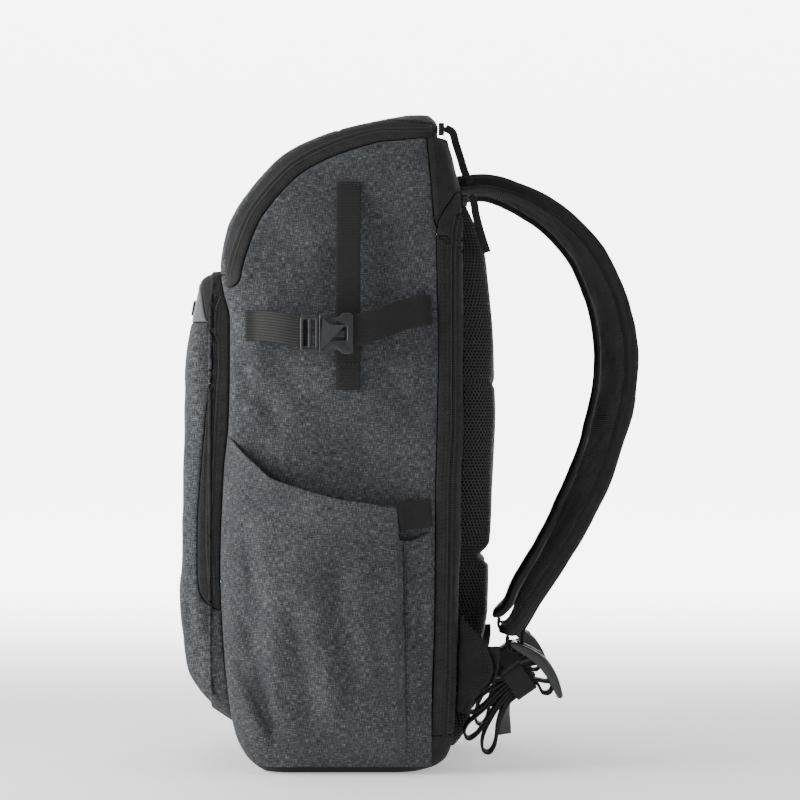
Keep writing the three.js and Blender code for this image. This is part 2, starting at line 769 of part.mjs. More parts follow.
function shoulderStrap() {
  const stations = [];
  for (let i = 0; i <= STRAP_STEPS; i += 1) stations.push(strapStation(i / STRAP_STEPS));
  return sweep(stations, padSection(STRAP_THICK));
}

// The ladder lock hangs from the webbing loop at the strap's lower end.
const strapEnd = strapStation(WEB_END);
const LOCK = { y: -0.6, z: -15, x: 0 };
const lockBar = V(strapEnd.point.x + LOCK.x, strapEnd.point.y + LOCK.y, strapEnd.point.z + LOCK.z);
const lockDown = V(0, 0.67, -0.742).normalize();
const lockOut = X.clone().cross(lockDown);
function lockPoint(along, out = 0) {
  const bow = LOCK_BOW * Math.sin((Math.PI * along) / LOCK_LENGTH);
  return lockBar.clone().addScaledVector(lockDown, along).addScaledVector(lockOut, bow + out);
}
const BAR_AT = [0, 0.37, 0.6]; // cross bars, shares of LOCK_LENGTH
const GRIP_AT = 0.76; // start of the solid grip at the lower end

function ladderLock() {
  const middle = lockBar.x;
  const inner = ADJUST_WEB / 2 + 1.5;
  const steps = 9;
  const upper = [];
  const lower = [];
  for (let i = 0; i < steps; i += 1) {
    const t = i / (steps - 1);
    const along = THREE.MathUtils.lerp(-0.08, 1.04, t) * LOCK_LENGTH;
    const thick = 2.4 + 1.4 * Math.sin(Math.PI * t);
    upper.push(lockPoint(along, thick));
    lower.unshift(lockPoint(along, -thick));
  }
  const outline = [...lower, ...upper].map((p) => [p.y, p.z]);
  const rail = (x) => solid(sideExtrude(outline, x, x + LOCK_RAIL));
  let lock = rail(middle - inner - LOCK_RAIL).add(rail(middle + inner));
  const span = inner + LOCK_RAIL / 2;
  for (const share of BAR_AT) {
    const bar = new THREE.CylinderGeometry(LOCK_BAR / 2, LOCK_BAR / 2, 2 * span, 8);
    const at = lockPoint(share * LOCK_LENGTH);
    bar.rotateZ(Math.PI / 2).translate(middle, at.y, at.z);
    lock = lock.add(solid(bar));
  }
  const grip = [
    lockPoint(GRIP_AT * LOCK_LENGTH, -2),
    lockPoint(LOCK_LENGTH, -2),
    lockPoint(LOCK_LENGTH, 2),
    lockPoint(GRIP_AT * LOCK_LENGTH, 2),
  ].map((p) => [p.y, p.z]);
  return geometryOf(lock.add(solid(sideExtrude(grip, middle - span, middle + span))));
}

// Webbing on the strap's outer face that ends in a loop round the lock's first bar. The loop's
// places are millimetres from the bar.
const WEB_STEPS = 12;
const LOOP = table(["y", "z"], [
  [5.6, 8],
  [5.6, 2.2],
  [3.9, -3],
  [-0.3, -5.1],
  [-4.7, -2.2],
  [-5.2, 2.5],
]);
function strapWebbing() {
  const stations = [];
  const off = STRAP_THICK / 2 + GAP + WEB_THICK / 2;
  for (let step = 0; step <= WEB_STEPS; step += 1) {
    const { point, across, along } = strapStation(THREE.MathUtils.lerp(WEB_START, WEB_END, step / WEB_STEPS));
    const normal = across.clone().cross(along).normalize();
    stations.push({ point: point.addScaledVector(normal, off), across, width: ADJUST_WEB });
  }
  for (const { y, z } of LOOP) {
    stations.push({ point: lockBar.clone().add(V(0, y, z)), across: X, width: ADJUST_WEB });
  }
  return sweep(stations, tape(WEB_THICK));
}

// The lower wing: a stiff triangle of cloth on the rear corner, as shares of WING in the side view.
const WING = { reach: 25, height: 67, z: 41.5, x: 127 };
const WING_EDGE = table(["y", "z"], [
  [0, 1],
  [0.35, 0.86],
  [0.8, 0.68],
  [1, 0.46],
  [0.5, 0.15],
  [0.36, 0],
  [0, 0],
]);
const wingRoot = (z) => bodyAt(z).rear + GAP;
function wing() {
  const points = WING_EDGE.map(({ y, z }) => {
    const height = WING.z + z * WING.height;
    return [wingRoot(height) + y * WING.reach, height];
  });
  const piece = solid(sideExtrude(points, WING.x - WING_THICK / 2, WING.x + WING_THICK / 2));
  return geometryOf(piece.subtract(clearOfBag));
}

// The folded tail of the adjusting webbing lies in layers inside the keeper. Places are
// millimetres along the layers and across them, from the keeper's middle.
const layerAlong = V(0, 0.82, 0.572).normalize();
const layerAcross = V(0, 0.572, -0.82).normalize();
const keeperMiddle = V(lockBar.x, lockBar.y + 2.8, lockBar.z - 25.2);
const inKeeper = (a, b) =>
  keeperMiddle.clone().addScaledVector(layerAlong, a).addScaledVector(layerAcross, b);
const layerAt = (layer) => (layer - (LAYERS - 1) / 2) * PITCH;
const mouth = KEEPER / 2 + 1;

// Each free loop of the tail, in millimetres from the keeper's middle, backwards and upwards.
const TAIL_LOOPS = [
  table(["y", "z"], [
    [-20.5, -6.2], [-28, -11.8], [-34.2, -17], [-35.2, -20.6], [-31.6, -22], [-25.6, -18], [-18.5, -11],
  ]),
  table(["y", "z"], [
    [-17, -12.6], [-22.5, -18], [-29, -23.8], [-35.5, -29.5], [-38, -35.5], [-35.4, -40.3],
    [-30.4, -38], [-25, -31.5], [-20, -23.5], [-14.5, -15.2],
  ]),
  table(["y", "z"], [
    [-14.5, -18.5], [-19.5, -26.5], [-23.5, -34.5], [-25.6, -42.5], [-24.6, -48.6], [-20.8, -50],
    [-17.4, -46], [-15.6, -39], [-14.8, -31], [-12.5, -22], [-8.8, -14.2],
  ]),
];
const TAIL_END = table(["y", "z"], [
  [-6.6, -15.5], [-8.8, -23], [-9.8, -30], [-10.2, -37.5],
]);
const ROLL = { a: 13, b: 14.5, radius: 4.4 };

function adjusterRoute() {
  const path = [];
  const from = (y, z) => keeperMiddle.clone().add(V(0, y, z));
  const bar = lockPoint(BAR_AT[1] * LOCK_LENGTH);
  const round = LOCK_BAR / 2 + GAP + WEB_THICK / 2 + 0.2;
  path.push(inKeeper(-mouth, layerAt(0)), inKeeper(mouth, layerAt(0)));
  for (const turn of [205, 150, 95, 40, -15, -60]) {
    const angle = (turn * Math.PI) / 180;
    const step = V(0, Math.cos(angle), Math.sin(angle)).multiplyScalar(round);
    path.push(bar.clone().add(step));
  }
  path.push(inKeeper(mouth + 1.5, layerAt(1)), inKeeper(-mouth, layerAt(1)));
  TAIL_LOOPS.forEach((loop, i) => {
    loop.forEach(({ y, z }) => path.push(from(y, z)));
    const back = layerAt(2 + 2 * i);
    const next = layerAt(3 + 2 * i);
    path.push(inKeeper(-mouth, back), inKeeper(mouth, back));
    if (i < TAIL_LOOPS.length - 1) {
      path.push(inKeeper(mouth + 2.4, (back + next) / 2));
    } else {
      for (const turn of [-75, -20, 40, 100, 160, 215]) {
        const angle = (turn * Math.PI) / 180;
        const a = ROLL.a + ROLL.radius * Math.cos(angle);
        const b = ROLL.b + ROLL.radius * Math.sin(angle);
        path.push(inKeeper(a, b));
      }
      path.push(inKeeper(mouth + 0.4, next + 1));
    }
    path.push(inKeeper(mouth - 1, next), inKeeper(-mouth, next));
  });
  TAIL_END.forEach(({ y, z }) => path.push(from(y, z)));
  return path;
}

function adjuster() {
  const start = V(WING.x - WING_THICK / 2 - WEB_THICK, wingRoot(WING.z) + 19, WING.z + 45);
  const above = inKeeper(-mouth - 5, layerAt(0) - 6);
  const stations = [0, 0.4, 0.8, 1].map((t) => {
    const point = start.clone().lerp(above, t);
    const across = V(0.5 + 0.5 * t, 0.55 * (1 - t), 0.45 * (1 - t)).normalize();
    return { point, across, width: ADJUST_WEB };
  });
  stations.push({ point: inKeeper(-mouth - 3.5, layerAt(0) - 2), across: X, width: ADJUST_WEB });
  for (const point of adjusterRoute()) stations.push({ point, across: X, width: ADJUST_WEB });
  return sweep(stations, tape(WEB_THICK));
}

function keeper() {
  const low = -(LAYERS * PITCH) / 2 - 0.2;
  const wide = ADJUST_WEB / 2 + GAP;
  const box = (spare, length) => {
    const geometry = new THREE.BoxGeometry(2 * (wide + spare), length, 2 * (spare - low));
    const turn = new THREE.Matrix4().makeBasis(X, layerAlong, layerAcross.clone().negate());
    return solid(geometry.applyMatrix4(turn).translate(...keeperMiddle.toArray()));
  };
  return geometryOf(box(KEEPER_THICK, KEEPER).subtract(box(0, 2 * KEEPER)));
}

// Zip sliders and their webbing pulls, on the wearer's right at the rear top. Places are shares of
// half the WIDTH, of DEPTH and of HEIGHT.
const FLAP_SLIDER = { x: 0.56, z: 0.977 };
const DOOR_SLIDER = { x: 0.693, z: 0.866 };
const FLAP_PULL = table(["x", "y", "z"], [
  [0.58, 0.424, 0.978],
  [0.59, 0.452, 0.972],
  [0.593, 0.466, 0.955],
  [0.587, 0.488, 0.93],
  [0.58, 0.505, 0.91],
  [0.577, 0.522, 0.897],
]);
const DOOR_PULL = table(["x", "y", "z"], [
  [0.693, 0.525, 0.872],
  [0.7, 0.537, 0.866],
  [0.7, 0.55, 0.842],
  [0.7, 0.572, 0.812],
  [0.693, 0.592, 0.79],
]);
function pull(rows) {
  const points = rows.map(({ x, y, z }) => V((x * WIDTH) / 2, yOf(y), zOf(z)));
  const stations = points.map((point) => ({ point, across: X, width: PULL_WEB }));
  return sweep(stations, tape(PULL_THICK));
}
function slider({ x, z }) {
  const { length, width, thick } = SLIDER;
  const y = bodyAt(zOf(z)).rear + GAP + thick / 2;
  return new THREE.BoxGeometry(length, thick, width).translate((x * WIDTH) / 2, y, zOf(z));
}

// Finishes and assembly.
const FINISH = {
  grey: { color: 0x4b5058, roughness: 0.92 },
  black: { color: 0x1d1e20, roughness: 0.88 },
  patch: { color: 0x585a5e, roughness: 0.7 },
  mesh: { color: 0x18191b, roughness: 0.95 },
  webbing: { color: 0x1b1c1e, roughness: 0.85 },
  plastic: { color: 0x2b2c2e, roughness: 0.45 },
  metal: { color: 0x8d8f92, roughness: 0.35, metalness: 0.9 },
};
const backpack = new THREE.Group();
function place(name, shape, finish) {
  const geometry = shape.isBufferGeometry ? shape : geometryOf(shape);
  const material = new THREE.MeshStandardMaterial({ metalness: 0, ...FINISH[finish] });
  const mesh = new THREE.Mesh(geometry, material);
  mesh.name = name;
  backpack.add(mesh);
}
function placePair(name, geometry, finish) {
  place(name + "_right", geometry, finish);
  place(name + "_left", mirrored(geometry), finish);
}

const panels = bagPanels();
place("main_shell", panels.shell, "grey");
place("base_panel", panels.base, "black");
place("top_flap", panels.flap, "grey");
place("flap_roof", panels.roof, "black");
place("flap_zip_band", panels.zipBand, "black");
place("yoke", panels.yoke, "black");
place("rear_zip_gusset", panels.gusset, "black");
place("back_door", panels.door, "black");
place("back_pad", backPad(), "mesh");

const pocket = frontPocket();
place("front_pocket", pocket.face, "grey");
place("front_patch", pocket.patch, "patch");
place("front_pocket_gusset", pocket.gusset, "black");
place("front_badge", badge(), "plastic");

placePair("side_pocket", sidePocket(), "grey");
placePair("pocket_elastic", pocketElastic(), "webbing");

place("side_handle", sideHandle(), "webbing");
place("side_strap_front", sideStrap(SIDE_FRONT, SIDE_FEET.front, -1), "webbing");
place("side_strap_rear", sideStrap(SIDE_REAR, SIDE_FEET.rear, 1), "webbing");
place("buckle_male", buckleMale(), "plastic");
place("buckle_female", buckleFemale(), "plastic");

placePair("shoulder_strap", shoulderStrap(), "mesh");
placePair("strap_webbing", strapWebbing(), "webbing");
placePair("ladder_lock", ladderLock(), "plastic");
placePair("harness_wing", wing(), "black");
placePair("adjuster_webbing", adjuster(), "webbing");
placePair("webbing_keeper", keeper(), "webbing");

place("flap_slider", slider(FLAP_SLIDER), "metal");
place("flap_pull", pull(FLAP_PULL), "webbing");
place("door_slider", slider(DOOR_SLIDER), "metal");
place("door_pull", pull(DOOR_PULL), "webbing");

export default backpack;
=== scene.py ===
# %% [markdown]
# # A camera backpack
# A tall padded bag of heather cloth stands on its flat base. It has a lid that zips open, a front
# pocket, two side pockets, a rear door, a mesh back pad and two shoulder straps. The construction
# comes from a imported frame. This script gives every soft part its crown, folds, seams and finish.

# %% Load the frame
import math

import bmesh
import bpy
import numpy as np
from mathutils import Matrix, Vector
from mathutils.kdtree import KDTree


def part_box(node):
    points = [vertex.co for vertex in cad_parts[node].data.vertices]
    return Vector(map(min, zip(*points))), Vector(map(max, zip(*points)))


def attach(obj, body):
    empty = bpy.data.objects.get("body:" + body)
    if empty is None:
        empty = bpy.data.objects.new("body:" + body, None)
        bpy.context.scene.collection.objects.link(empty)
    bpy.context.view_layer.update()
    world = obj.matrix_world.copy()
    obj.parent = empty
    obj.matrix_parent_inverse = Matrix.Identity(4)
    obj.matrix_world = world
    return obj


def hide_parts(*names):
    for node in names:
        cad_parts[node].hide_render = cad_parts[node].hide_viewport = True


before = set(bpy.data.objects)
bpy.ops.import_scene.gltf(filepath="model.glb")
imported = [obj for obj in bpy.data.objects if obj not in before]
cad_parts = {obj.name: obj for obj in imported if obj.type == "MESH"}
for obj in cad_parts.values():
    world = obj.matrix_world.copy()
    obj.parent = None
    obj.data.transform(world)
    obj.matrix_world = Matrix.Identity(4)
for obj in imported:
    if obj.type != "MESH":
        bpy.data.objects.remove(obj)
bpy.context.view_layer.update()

MM = 0.001

# %% [markdown]
# ## Camera, light and floor
# The bag is seen from the wearer's right, level with its middle and from about two and a half
# metres, so that its side is nearly flat to the picture. A small soft key and a wide light come
# from the front pocket's side, with one from above, one from behind and a weak fill, as in a small
# studio. The floor is plain and pale, with a painted glow that grows behind the bag.

# %% Camera
CAMERA_PLACE = Vector((2.640, 0.0391, 0.2584))
SENSOR = 36.0
NEAR_PLANE = 0.140  # the side panel's x, where the view is FRAME_WIDTH wide
FRAME_WIDTH = 0.552


def new_object(name, data):
    """An object that holds some data, in the scene."""
    made = bpy.data.objects.new(name, data)
    bpy.context.scene.collection.objects.link(made)
    return made


eye = bpy.data.cameras.new("eye")
eye.sensor_width = SENSOR
eye.lens = SENSOR * (CAMERA_PLACE.x - NEAR_PLANE) / FRAME_WIDTH
camera = new_object("camera", eye)
camera.location = CAMERA_PLACE
camera.rotation_euler = (math.radians(90), 0, math.radians(90))
bpy.context.scene.camera = camera
print("lens, mm:", round(eye.lens, 1))

# %% Lights
MIDDLE = Vector((0, 0, 0.23))
LIGHTS = [
    # name, place, size in metres, power in watts
    ("key", (0.42, -0.62, 0.42), 0.35, 4.9),
    ("front", (0.1, -1.6, 0.7), 1.1, 15),
    ("fill", (2.3, 1.2, 0.9), 1.5, 1.8),
    ("top", (0.15, -0.1, 2.1), 1.5, 15),
    ("rim", (0.5, 1.9, 0.9), 1.2, 10),
]
WORLD_STRENGTH = 0.17
WHITE = (1, 1, 1, 1)


def area_light(name, place, size, power):
    """A square soft box that faces the middle of the bag."""
    data = bpy.data.lights.new(name, "AREA")
    data.shape = "SQUARE"
    data.size = size
    data.energy = power
    lamp = new_object(name, data)
    lamp.location = place
    lamp.rotation_euler = (MIDDLE - Vector(place)).to_track_quat("-Z", "Y").to_euler()


for light in LIGHTS:
    area_light(*light)
world = bpy.data.worlds.new("studio")
world.use_nodes = True
world.node_tree.nodes["Background"].inputs["Color"].default_value = WHITE
world.node_tree.nodes["Background"].inputs["Strength"].default_value = WORLD_STRENGTH
bpy.context.scene.world = world
print("lights, W:", {name: power for name, _, _, power in LIGHTS})

# %% Floor
FLOOR_HALF = 4.0
FLOOR_RISE = 3.0
FLOOR_BEND = 1.2
BEND_STEPS = 8
FLOOR_TONE = (0.9, 0.9, 0.9, 1)
# the paper's painted glow by its x: from just behind the bag to where the picture shows only paper
GLOW = {"From Min": -0.25, "From Max": -2.2, "To Min": 0.45, "To Max": 5.0}


def floor_profile():
    """The sweep's (x, z) from near to far: flat, a quarter turn and a wall."""
    flat_end = -FLOOR_HALF + FLOOR_BEND
    profile = [(FLOOR_HALF, 0.0), (flat_end, 0.0)]
    for step in range(1, BEND_STEPS + 1):
        turn = math.radians(90) * step / BEND_STEPS
        profile.append((flat_end - FLOOR_BEND * math.sin(turn), FLOOR_BEND - FLOOR_BEND * math.cos(turn)))
    return profile + [(-FLOOR_HALF, FLOOR_RISE)]


def floor_paint():
    """Pale paper with a painted glow that grows the further it is behind the bag."""
    paint = bpy.data.materials.new("floor_paper_painted_glow")
    paint.use_nodes = True
    nodes, links = paint.node_tree.nodes, paint.node_tree.links
    shader = nodes["Principled BSDF"]
    shader.inputs["Base Color"].default_value = FLOOR_TONE
    shader.inputs["Roughness"].default_value = 0.9
    shader.inputs["Emission Color"].default_value = WHITE
    place = nodes.new("ShaderNodeTexCoord")
    parts = nodes.new("ShaderNodeSeparateXYZ")
    # painted glow: the paper emits more light the further it is behind the bag
    glow = nodes.new("ShaderNodeMapRange")
    glow.interpolation_type = "SMOOTHSTEP"
    for socket, value in GLOW.items():
        glow.inputs[socket].default_value = value
    links.new(place.outputs["Object"], parts.inputs[0])
    links.new(parts.outputs["X"], glow.inputs["Value"])
    links.new(glow.outputs["Result"], shader.inputs["Emission Strength"])
    return paint


def floor():
    """A pale sweep: flat under the bag, curving up behind it, where its painted glow makes it bright."""
    profile = floor_profile()
    verts = [(x, y, z) for y in (-FLOOR_HALF, FLOOR_HALF) for x, z in profile]
    count = len(profile)
    faces = [(i, i + 1, count + i + 1, count + i) for i in range(count - 1)]
    mesh = bpy.data.meshes.new("floor")
    mesh.from_pydata(verts, [], faces)
    for polygon in mesh.polygons:
        polygon.use_smooth = True
    mesh.materials.append(floor_paint())
    new_object("floor", mesh)
    print("floor:", len(faces), "faces")


floor()

# %% [markdown]
# ## Working with tables, fields and sheets
# Soft goods are easiest to shape as numbers first. A table holds the sections of a form, a smooth
# curve runs through its rows, and a sheet holds a mesh as plain arrays: corners, triangles and
# what is known at each corner. A panel is cut out of a sheet along the line where a field is zero,
# so its edge is as smooth as the line and not as coarse as the grid.

# %% Tables
def steady(xs, ys, at):
    """A smooth curve through rows that never overshoots them."""
    step, rise = np.diff(xs), np.diff(ys) / np.diff(xs)
    slope = np.zeros(len(xs))
    slope[0], slope[-1] = rise[0], rise[-1]
    first, second = 2 * step[1:] + step[:-1], step[1:] + 2 * step[:-1]
    with np.errstate(divide="ignore", invalid="ignore"):
        mean = (first + second) / (first / rise[:-1] + second / rise[1:])
    slope[1:-1] = np.where(rise[:-1] * rise[1:] > 0, mean, 0)
    at = np.clip(at, xs[0], xs[-1])
    i = np.clip(np.searchsorted(xs, at) - 1, 0, len(step) - 1)
    t = (at - xs[i]) / step[i]
    held = ys[i] * (1 + 2 * t) * (1 - t) ** 2 + ys[i + 1] * t**2 * (3 - 2 * t)
    turned = slope[i] * t * (1 - t) ** 2 - slope[i + 1] * t**2 * (1 - t)
    return held + turned * step[i]


def table(columns, rows):
    """Rows under named columns. The first column is the key that the others are read by."""
    names = columns.split()
    data = {name: np.array([row[i] for row in rows], float) for i, name in enumerate(names)}

    def read(name, at):
        return steady(data[names[0]], data[name], np.asarray(at, float))

    return read


def smoothstep(t):
    t = np.clip(t, 0, 1)
    return t * t * (3 - 2 * t)


def lengths_along(points):
    """The length along a line of points, up to each of them."""
    return np.concatenate([[0], np.cumsum(np.linalg.norm(np.diff(points, axis=0), axis=1))])


def unit(vectors):
    """A vector, or rows of them, at length one."""
    vectors = np.asarray(vectors, float)
    return vectors / np.linalg.norm(vectors, axis=-1, keepdims=True)


print("halfway up a smooth step:", smoothstep(0.5))

# %% Soft noise
LATTICE = np.random.default_rng(7).random((32, 32, 32))


def drift(points, size, seed):
    """Smooth noise from -1 to 1 that changes over about size metres."""
    p = points / size + 3.7 * seed + 100
    cell = np.floor(p).astype(int)
    f = smoothstep(p - cell)
    total = 0
    for corner in np.ndindex(2, 2, 2):
        at = (cell + corner) % len(LATTICE)
        weight = np.prod(np.where(corner, f, 1 - f), axis=1)
        total = total + weight * LATTICE[at[:, 0], at[:, 1], at[:, 2]]
    return 2 * total - 1


print("noise at three places:", np.round(drift(np.eye(3) * 10 * MM, 20 * MM, 1), 2))

# %% Sheets
GAP = 0.3 * MM  # between neighbouring panels
SNAP = 0.04 * MM  # a corner nearer to a cut than this lies on it


def grid_sheet(points, uv=None, wrap=False):
    """A sheet from rows of points, faces on the side that rows x columns turns to."""
    rows, columns = points.shape[:2]
    corner = np.arange(rows * columns).reshape(rows, columns)
    a, b = corner[:-1, :-1].ravel(), corner[:-1, 1:].ravel()
    c, d = corner[1:, 1:].ravel(), corner[1:, :-1].ravel()
    tri = np.concatenate([np.stack([a, b, c], 1), np.stack([a, c, d], 1)])
    sheet = {"co": points.reshape(-1, 3), "tri": tri}
    if uv is not None:
        sheet["uv"] = uv.reshape(-1, 2)
    if wrap:
        twin = corner.copy()
        twin[:, -1] = corner[:, 0]
        sheet["twin"] = twin.ravel()
    return sheet


def normals(sheet):
    """Smooth normals, shared across the line where a closed sheet meets itself."""
    co, tri = sheet["co"], sheet["tri"]
    face = np.cross(co[tri[:, 1]] - co[tri[:, 0]], co[tri[:, 2]] - co[tri[:, 0]])
    total = np.zeros_like(co)
    for i in range(3):
        np.add.at(total, tri[:, i], face)
    if "twin" in sheet:
        shared = np.zeros_like(co)
        np.add.at(shared, sheet["twin"].astype(int), total)
        total = shared[sheet["twin"].astype(int)]
    return total / np.maximum(np.linalg.norm(total, axis=1, keepdims=True), 1e-12)


def flip(sheet):
    return {**sheet, "tri": sheet["tri"][:, ::-1]}


def part(sheet, chosen):
    """The chosen triangles with only the corners that they use."""
    tri = sheet["tri"][chosen]
    used, back = np.unique(tri, return_inverse=True)
    made = {key: value[used] for key, value in sheet.items() if key not in ("tri", "twin")}
    made["tri"] = back.reshape(-1, 3)
    return made


def split(sheet, value):
    """Cuts every triangle along value = 0. Returns the sheet and value at its corners."""
    value = np.where(np.abs(value) < SNAP, 0.0, value)
    tri = sheet["tri"]
    sign = np.sign(value[tri])
    crossing = (sign.max(1) > 0) & (sign.min(1) < 0)
    t, s = tri[crossing], sign[crossing]
    through = (s == 0).any(1)
    lone = np.where((s > 0).sum(1) == 1, (s > 0).argmax(1), (s < 0).argmax(1))
    first = np.where(through, (s == 0).argmax(1), lone)
    t = np.take_along_axis(t, (first[:, None] + np.arange(3)) % 3, 1)
    a, b, c = t[~through].T
    e, f, g = t[through].T
    pairs = np.concatenate([np.stack([a, b], 1), np.stack([a, c], 1), np.stack([f, g], 1)])
    edges, back = np.unique(np.sort(pairs, 1), axis=0, return_inverse=True)
    low, high = edges.T
    share = value[low] / np.where(value[low] == value[high], 1, value[low] - value[high])
    made = {}
    for key, array in sheet.items():
        if key in ("tri", "twin"):
            continue
        w = share if array.ndim == 1 else share[:, None]
        made[key] = np.concatenate([array, array[low] * (1 - w) + array[high] * w])
    new = len(value) + back.reshape(-1)
    p, q, r = new[: len(a)], new[len(a) : 2 * len(a)], new[2 * len(a) :]
    pieces = [(a, p, q), (p, b, c), (p, c, q), (e, f, r), (e, r, g)]
    made["tri"] = np.concatenate([tri[~crossing]] + [np.stack(x, 1) for x in pieces])
    return made, np.concatenate([value, np.zeros(len(edges))])


def divide(sheet, field):
    """The part of a sheet where field is positive, and the part where it is negative."""
    cut, value = split(sheet, field(sheet["co"]) - GAP / 2)
    inside = part(cut, value[cut["tri"]].sum(1) > 0)
    cut, value = split(sheet, field(sheet["co"]) + GAP / 2)
    return inside, part(cut, value[cut["tri"]].sum(1) < 0)


square = grid_sheet(np.array([[[0, 0, 0], [0, 1, 0]], [[0, 0, 1], [0, 1, 1]]], float))
halves = divide(square, lambda co: co[:, 2] - 0.5)
print("a square cut at half its height:", [len(half["tri"]) for half in halves], "triangles")

# %% Lines in the side view
def line_field(points, closed=False):
    """Signed distance in the side view (y, z): positive on the left of the line's run."""
    p = np.array(points, float)
    if closed:
        p = np.vstack([p, p[:1]])
    a, b = p[:-1], p[1:]
    run = b - a
    length = np.maximum((run**2).sum(1), 1e-12)

    def field(co):
        here = co[:, 1:3]
        best = np.full(len(here), 1e9)
        side = np.zeros(len(here))
        for start, way, square in zip(a, run, length):
            to = here - start
            t = np.clip(to @ way / square, 0, 1)
            away = to - t[:, None] * way
            d = np.hypot(away[:, 0], away[:, 1])
            turn = way[0] * to[:, 1] - way[1] * to[:, 0]
            nearer = d < best - 1e-9
            tied = (np.abs(d - best) <= 1e-9) & (np.abs(turn) > np.abs(side))
            side = np.where(nearer | tied, turn, side)
            best = np.minimum(best, d)
        return np.where(side >= 0, best, -best)

    return field


def rounded(points, step=2 * MM):
    """A line through places in the side view, as a smooth curve of short steps."""
    p = np.array(points, float)
    at = lengths_along(p)
    fine = np.linspace(0, at[-1], max(int(at[-1] / step), 2))
    return np.stack([steady(at, p[:, 0], fine), steady(at, p[:, 1], fine)], 1)


upright = line_field([(0, 0), (0, 1)])
print("the field a metre to the left of a line:", upright(np.array([[0, -1.0, 0.5]])))

# %% Panels with rounded, sewn-down edges
EDGE_LEVELS = (0.7 * MM, 1.6 * MM, 3.0 * MM)
RIM_STEP = 0.35 * MM
SHORTEST = 1e-7  # a rim edge below this is where a cap closes to a point
RIDGE = 0.55  # a fold's ridge against its valley


def edge_distance(sheet):
    """How far each corner is from the sheet's own open edge."""
    tri = sheet["tri"]
    pairs = np.sort(np.concatenate([tri[:, [0, 1]], tri[:, [1, 2]], tri[:, [2, 0]]]), 1)
    edges, count = np.unique(pairs, axis=0, return_counts=True)
    rim = edges[count == 1]
    rim = rim[np.linalg.norm(sheet["co"][rim[:, 0]] - sheet["co"][rim[:, 1]], axis=1) > SHORTEST]
    a, b = sheet["co"][rim[:, 0]], sheet["co"][rim[:, 1]]
    tree_points = []
    for start, end in zip(a, b):
        steps = max(int(np.linalg.norm(end - start) / RIM_STEP), 1)
        for k in range(steps):
            tree_points.append(start + (end - start) * k / steps)
    tree = KDTree(len(tree_points))
    for i, p in enumerate(tree_points):
        tree.insert(p, i)
    tree.balance()
    found = np.array([tree.find(p)[2] for p in sheet["co"]])
    found[rim.ravel()] = 0
    return found


def pressed(sheet, depth, radius):
    """Rounds a panel down towards its seams: depth at the edge, none past the radius."""
    for level in EDGE_LEVELS:
        sheet, _ = split(sheet, edge_distance(sheet) - level)
    away = np.clip(1 - edge_distance(sheet) / radius, 0, 1)
    drop = depth * (1 - np.sqrt(np.maximum(1 - away**2, 0)))
    sheet["co"] = sheet["co"] - sheet["normal"] * drop[:, None]
    return sheet


def crease(co, start, end, width, depth):
    """A fold in the side view from start to end: a valley with a low ridge on its left."""
    here = co[:, 1:3] - np.array(start)
    way = np.array(end) - np.array(start)
    span = np.hypot(*way)
    t = here @ way / span**2
    off = (way[0] * here[:, 1] - way[1] * here[:, 0]) / span
    fade = smoothstep(t / 0.3) * smoothstep((1 - t) / 0.3)
    valley = np.exp(0.3 - np.hypot(off / width, 0.3))
    hump = RIDGE * np.exp(-(((off - 1.7 * width) / width) ** 2))
    return depth * fade * (hump - valley)


print("edge levels, mm:", [round(level / MM, 1) for level in EDGE_LEVELS])
